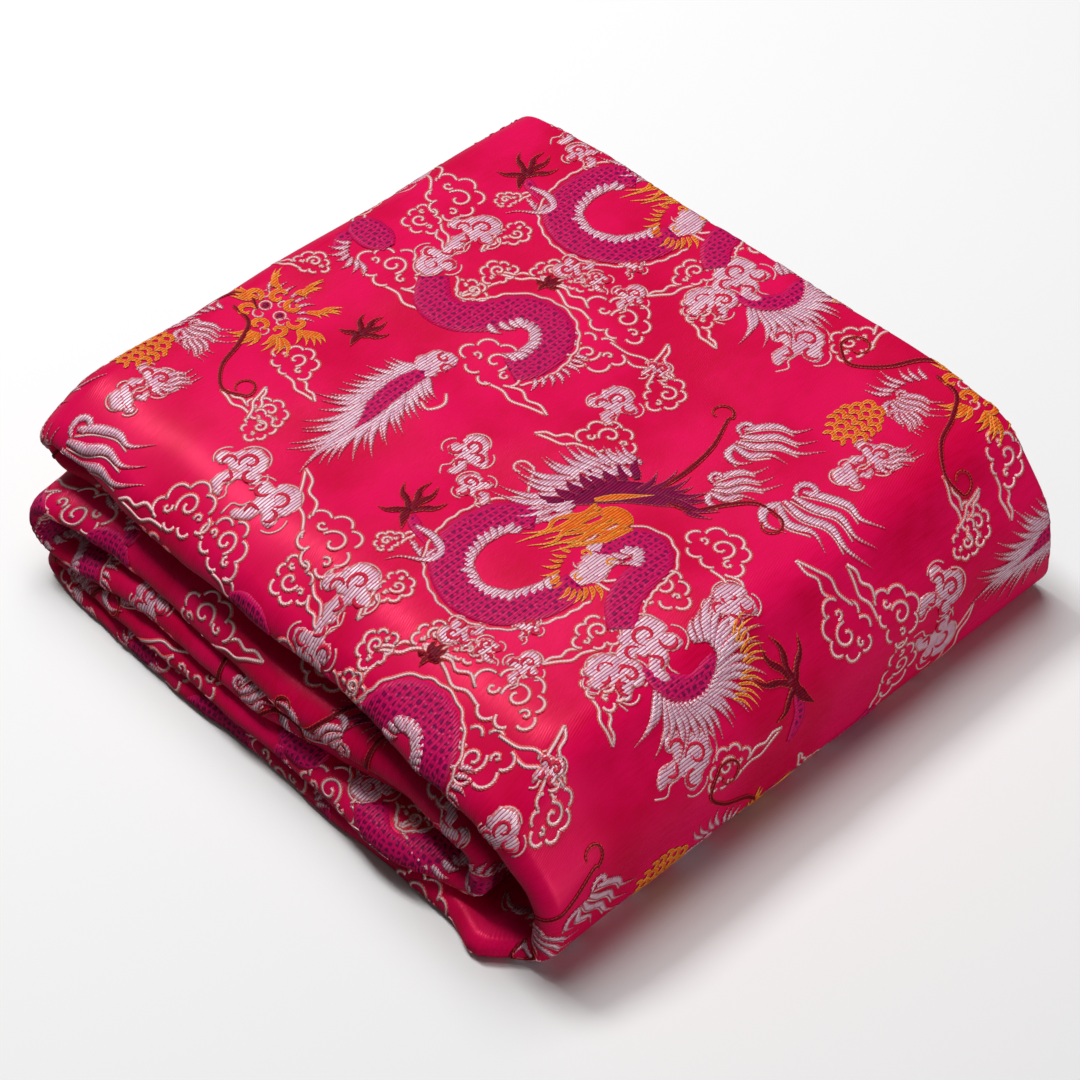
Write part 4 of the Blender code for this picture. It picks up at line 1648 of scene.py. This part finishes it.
@dataclass
class Cloth:
    """The cloth itself: one sheet on the pack's folds."""

    strip: FoldedStrip
    thickness: float = 0.6  # millimetres
    run_step: float = 4.6  # millimetres from row to row where the strip runs straight
    loop_step: float = math.radians(7.0)  # from row to row where it bends
    flat_size: tuple[float, float] = (1.46, 0.96)
    rows: tuple[int, ...] = (26, 7, 9, 40, 7, 7, 5, 6)  # in each stretch of the cross-section

    def stations(self) -> np.ndarray:
        """Lengths along the centreline where the cloth has a row of vertices.

        Returns:
            The lengths, closer together where the strip bends.
        """
        strip = self.strip
        turned = np.concatenate([[0.0], np.cumsum(np.abs(np.diff(strip.path_heading)))])
        effort = strip.path_s / self.run_step + turned / self.loop_step
        count = math.ceil(effort[-1])
        return np.interp(np.linspace(0.0, effort[-1], count + 1), effort, strip.path_s)

    def build(self) -> bpy.types.Object:
        """Folds the cloth.

        Returns:
            The cloth's object.
        """
        s = self.stations()
        lane = self.strip.lane(s)
        marks = self.strip.marks(lane)
        w_rows = [marks[0]]
        for stretch, count in enumerate(self.rows):
            for step in range(1, count + 1):
                w_rows.append(marks[stretch] + (marks[stretch + 1] - marks[stretch]) * step / count)
        w = np.array(w_rows)
        columns, rows = len(s), len(w)
        sheet = bmesh.new()
        bmesh.ops.create_grid(sheet, x_segments=columns - 1, y_segments=rows - 1, size=1.0)
        mesh = to_mesh("folded_cloth", sheet)
        grid = (vertex_places(mesh) + 1.0) / 2.0
        column = np.rint(grid[:, 0] * (columns - 1)).astype(int)
        row = np.rint(grid[:, 1] * (rows - 1)).astype(int)
        here = Lane(*(values[column] for values in lane))
        w_here = w[row, column]
        points = self.strip.fold(here, *self.strip.across(here, w_here))
        middle = (points.min(axis=0) + points.max(axis=0)) / 2.0
        self.strip.middle = (middle[0] / MM, middle[1] / MM)
        points[:, :2] -= middle[:2]
        pattern_x = self.strip.pattern_start - np.interp(s, self.strip.path_s, self.strip.path_u)[column]
        pattern_y = w_here + self.strip.pattern_shift(here)
        flat = np.stack([pattern_x, pattern_y, np.zeros_like(pattern_x)], axis=1)
        cloth = folded_piece(mesh, flat, points)
        self.face_outwards(mesh)
        thicken(cloth, self.thickness, 0.0)
        return cloth

    @staticmethod
    def face_outwards(mesh: bpy.types.Mesh) -> None:
        """Turns the sheet's faces to the cloth's right side.

        Args:
            mesh: The sheet's mesh.
        """
        sheet = bmesh.new()
        sheet.from_mesh(mesh)
        bmesh.ops.recalc_face_normals(sheet, faces=sheet.faces)
        sheet.to_mesh(mesh)
        sheet.free()

    def dress(self, cloth: bpy.types.Object, effects: WeaveEffects) -> None:
        """Gives the cloth its finish.

        Args:
            cloth: The cloth's object.
            effects: The shared shader groups.
        """
        cloth.data.materials.append(SatinGround().build(effects))
        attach(cloth, "root")
        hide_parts(CAD_NODE)


@dataclass
class Brocading:
    """The pattern's yarns, laid on the cloth."""

    strip: FoldedStrip
    cloth: Cloth
    thickness: float = 0.16  # millimetres
    floor_gap: float = 0.02  # millimetres that the lowest yarns keep above the floor
    most_along: int = 9  # repeats either way from the cartoon's own, enough to cover the cloth
    most_across: int = 5
    lifts: tuple[tuple[Yarn, float], ...] = (  # millimetres above the cloth's face
        (Yarn.CORD, 0.12),
        (Yarn.SILVER, 0.16),
        (Yarn.NOTCH, 0.30),
        (Yarn.SCALES, 0.20),
        (Yarn.SPIKES, 0.24),
        (Yarn.PLUM, 0.28),
        (Yarn.ORANGE, 0.32),
        (Yarn.MAROON, 0.30),
    )

    def draw(self) -> list[Stroke]:
        """Draws one repeat of the pattern.

        Returns:
            Its strokes.
        """
        cartoon = Cartoon()
        draw_clouds(cartoon)
        draw_coiled_dragon(cartoon)
        draw_running_dragon(cartoon)
        draw_tails_and_flames(cartoon)
        return cartoon.strokes

    def weave(self, yarn: Yarn, strokes: list[Stroke]) -> bpy.types.Mesh:
        """Lays one yarn's strokes flat, for one repeat.

        Args:
            yarn: The yarn.
            strokes: All the strokes of the repeat.

        Returns:
            The flat mesh.
        """
        cell = bmesh.new()
        cell.verts.layers.float_vector.new("stroke")
        chance = random.Random(yarn.value)
        for stroke in strokes:
            if stroke.yarn is yarn:
                stroke.weave(cell, chance.random())
        return to_mesh(yarn.value + "_repeat", cell)

    def repeat(self, yarn: Yarn, cell: bpy.types.Mesh) -> bpy.types.Mesh:
        """Repeats a flat mesh over the cloth where it shows.

        Args:
            yarn: The yarn.
            cell: Its flat mesh for one repeat.

        Returns:
            The flat mesh for the whole cloth.
        """
        spread = bmesh.new()
        (ux, uy), (vx, vy) = REPEATS
        for i in range(-self.most_along, self.most_along + 1):
            for j in range(-self.most_across, self.most_across + 1):
                shift = Vector((i * ux + j * vx, i * uy + j * vy, 0.0))
                self.add_repeat(spread, cell, shift)
        return to_mesh(yarn.value, spread)

    def add_repeat(self, spread: bmesh.types.BMesh, cell: bpy.types.Mesh, shift: Vector) -> None:
        """Adds one repeat, without what is out of sight.

        Args:
            spread: The whole cloth's mesh, so far.
            cell: The flat mesh of one repeat.
            shift: Where the repeat goes.
        """
        shown = self.strip.shows(vertex_places(cell)[:, :2] + (shift.x, shift.y))
        if not shown.any():
            return
        copy = bmesh.new()
        copy.from_mesh(cell)
        bmesh.ops.translate(copy, verts=copy.verts, vec=shift)
        unseen = [vertex for vertex, seen in zip(copy.verts, shown) if not seen]
        bmesh.ops.delete(copy, geom=unseen, context="VERTS")
        mesh = to_mesh("one_repeat", copy)
        spread.from_mesh(mesh)
        bpy.data.meshes.remove(mesh)

    def build(self) -> list[bpy.types.Object]:
        """Builds a piece for each yarn.

        Returns:
            The pieces.
        """
        strokes = self.draw()
        log.info("one repeat has %d strokes", len(strokes))
        return [self.lay(yarn, lift, strokes) for yarn, lift in self.lifts]

    def lay(self, yarn: Yarn, lift: float, strokes: list[Stroke]) -> bpy.types.Object:
        """Makes one yarn's piece and folds it with the cloth.

        Args:
            yarn: The yarn.
            lift: How far it stands above the cloth's face, in millimetres.
            strokes: All the strokes of the repeat.

        Returns:
            The piece.
        """
        cell = self.weave(yarn, strokes)
        mesh = self.repeat(yarn, cell)
        bpy.data.meshes.remove(cell)
        flat = vertex_places(mesh)
        height = flat[:, 2] + lift + self.cloth.thickness / 2.0
        flat[:, 2] = 0.0
        places = self.strip.place(flat[:, :2], height)
        places[:, 2] = np.maximum(places[:, 2], self.floor_gap * MM)
        piece = folded_piece(mesh, flat, places)
        thicken(piece, self.thickness, -1.0)
        return piece

    def dress(self, pieces: list[bpy.types.Object], effects: WeaveEffects) -> None:
        """Gives each yarn its finish.

        Args:
            pieces: The yarns' pieces, in the order of the lifts.
            effects: The shared shader groups.
        """
        for piece, (yarn, _) in zip(pieces, self.lifts):
            piece.data.materials.append(FINISHES[yarn].build(effects))
            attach(piece, "root")


class Lamp(NamedTuple):
    """A square area light that shines on the pack."""

    name: str
    place: tuple[float, float, float]
    size: float
    power: float


@dataclass
class Studio:
    """The floor, the lights and the camera."""

    camera_place: tuple[float, float, float] = (0.53062, -0.51240, 0.78041)
    yaw: float = math.radians(45.6557)
    pitch: float = math.radians(45.8606)
    lens: float = 100.0
    sensor: float = 36.0
    floor_size: float = 12.0
    floor_colour: Colour = (0.97, 0.97, 0.97, 1.0)
    floor_bounce: Colour = (0.14, 0.12, 0.12, 1.0)  # darker, so that little light comes up from it
    world_strength: float = 0.07
    lamps: tuple[Lamp, ...] = (
        Lamp("ceiling", (-0.5, 0.25, 1.85), 1.2, 23.0),
        Lamp("key", (-1.0, -0.05, 1.7), 0.4, 16.0),
    )
    wall_lamp: Lamp = Lamp("wall", (1.35, -0.15, 0.2), 0.36, 7.2)
    aimed_at: tuple[float, float, float] = (0.0, 0.0, 0.03)

    def build_floor(self) -> bpy.types.Object:
        """A plain white floor, darker to everything but the camera.

        Returns:
            The floor.
        """
        shape = bmesh.new()
        bmesh.ops.create_grid(shape, x_segments=1, y_segments=1, size=self.floor_size / 2.0)
        floor = in_scene("floor", to_mesh("floor", shape))
        material, bench, shader = new_material("white_floor")
        seen = bench.node("ShaderNodeLightPath")["Is Camera Ray"]
        bench.feed(shader.inputs["Base Color"], bench.mix(seen, self.floor_bounce, self.floor_colour))
        shader.inputs["Roughness"].default_value = 0.9
        floor.data.materials.append(material)
        return floor

    def hang(self, lamp: Lamp) -> bpy.types.Object:
        """Hangs a lamp, aimed at the pack and out of the camera's sight.

        Args:
            lamp: The lamp.

        Returns:
            Its object.
        """
        light = bpy.data.lights.new(lamp.name, "AREA")
        light.size = lamp.size
        light.energy = lamp.power
        holder = in_scene(lamp.name, light)
        holder.visible_camera = False
        aim = Vector(self.aimed_at) - Vector(lamp.place)
        turn = aim.to_track_quat("-Z", "Y").to_matrix().to_4x4()
        holder.matrix_world = Matrix.Translation(lamp.place) @ turn
        return holder

    def build_lights(self, floor: bpy.types.Object) -> None:
        """A large soft light, a smaller one for the satin's sheen, and a low one for the wall alone.

        Args:
            floor: The floor, which the low light leaves out.
        """
        world = bpy.data.worlds.new("studio")
        world.use_nodes = True
        backdrop = world.node_tree.nodes["Background"]
        backdrop.inputs["Color"].default_value = (1.0, 1.0, 1.0, 1.0)
        backdrop.inputs["Strength"].default_value = self.world_strength
        bpy.context.scene.world = world
        for lamp in self.lamps:
            self.hang(lamp)
        left_out = bpy.data.collections.new("left_out_by_wall_light")
        left_out.objects.link(floor)
        left_out.collection_objects[0].light_linking.link_state = "EXCLUDE"
        self.hang(self.wall_lamp).light_linking.receiver_collection = left_out

    def build_camera(self) -> None:
        """The camera at the photograph's angle."""
        lens = bpy.data.cameras.new("camera")
        lens.lens = self.lens
        lens.sensor_width = self.sensor
        lens.sensor_fit = "HORIZONTAL"
        right = Vector((math.cos(self.yaw), math.sin(self.yaw), 0.0))
        back = Vector((
            math.sin(self.yaw) * math.cos(self.pitch),
            -math.cos(self.yaw) * math.cos(self.pitch),
            math.sin(self.pitch),
        ))
        up = back.cross(right)
        camera = in_scene("camera", lens)
        turn = Matrix((right, up, back)).transposed().to_4x4()
        camera.matrix_world = Matrix.Translation(self.camera_place) @ turn
        bpy.context.scene.camera = camera


def main() -> None:
    """Builds the studio, the cloth and its brocading, and reports each piece."""
    logging.basicConfig(level=logging.INFO, format="%(name)s: %(message)s")
    bpy.context.scene.view_settings.view_transform = "Standard"
    studio = Studio()
    studio.build_camera()
    studio.build_lights(studio.build_floor())
    effects = WeaveEffects()
    strip = FoldedStrip()
    cloth = Cloth(strip)
    sheet = cloth.build()
    cloth.dress(sheet, effects)
    log.info("%s: %d faces", sheet.name, len(sheet.data.polygons))
    brocading = Brocading(strip, cloth)
    pieces = brocading.build()
    brocading.dress(pieces, effects)
    for piece in pieces:
        log.info("%s: %d faces", piece.name, len(piece.data.polygons))


if __name__ == "__main__":
    main()
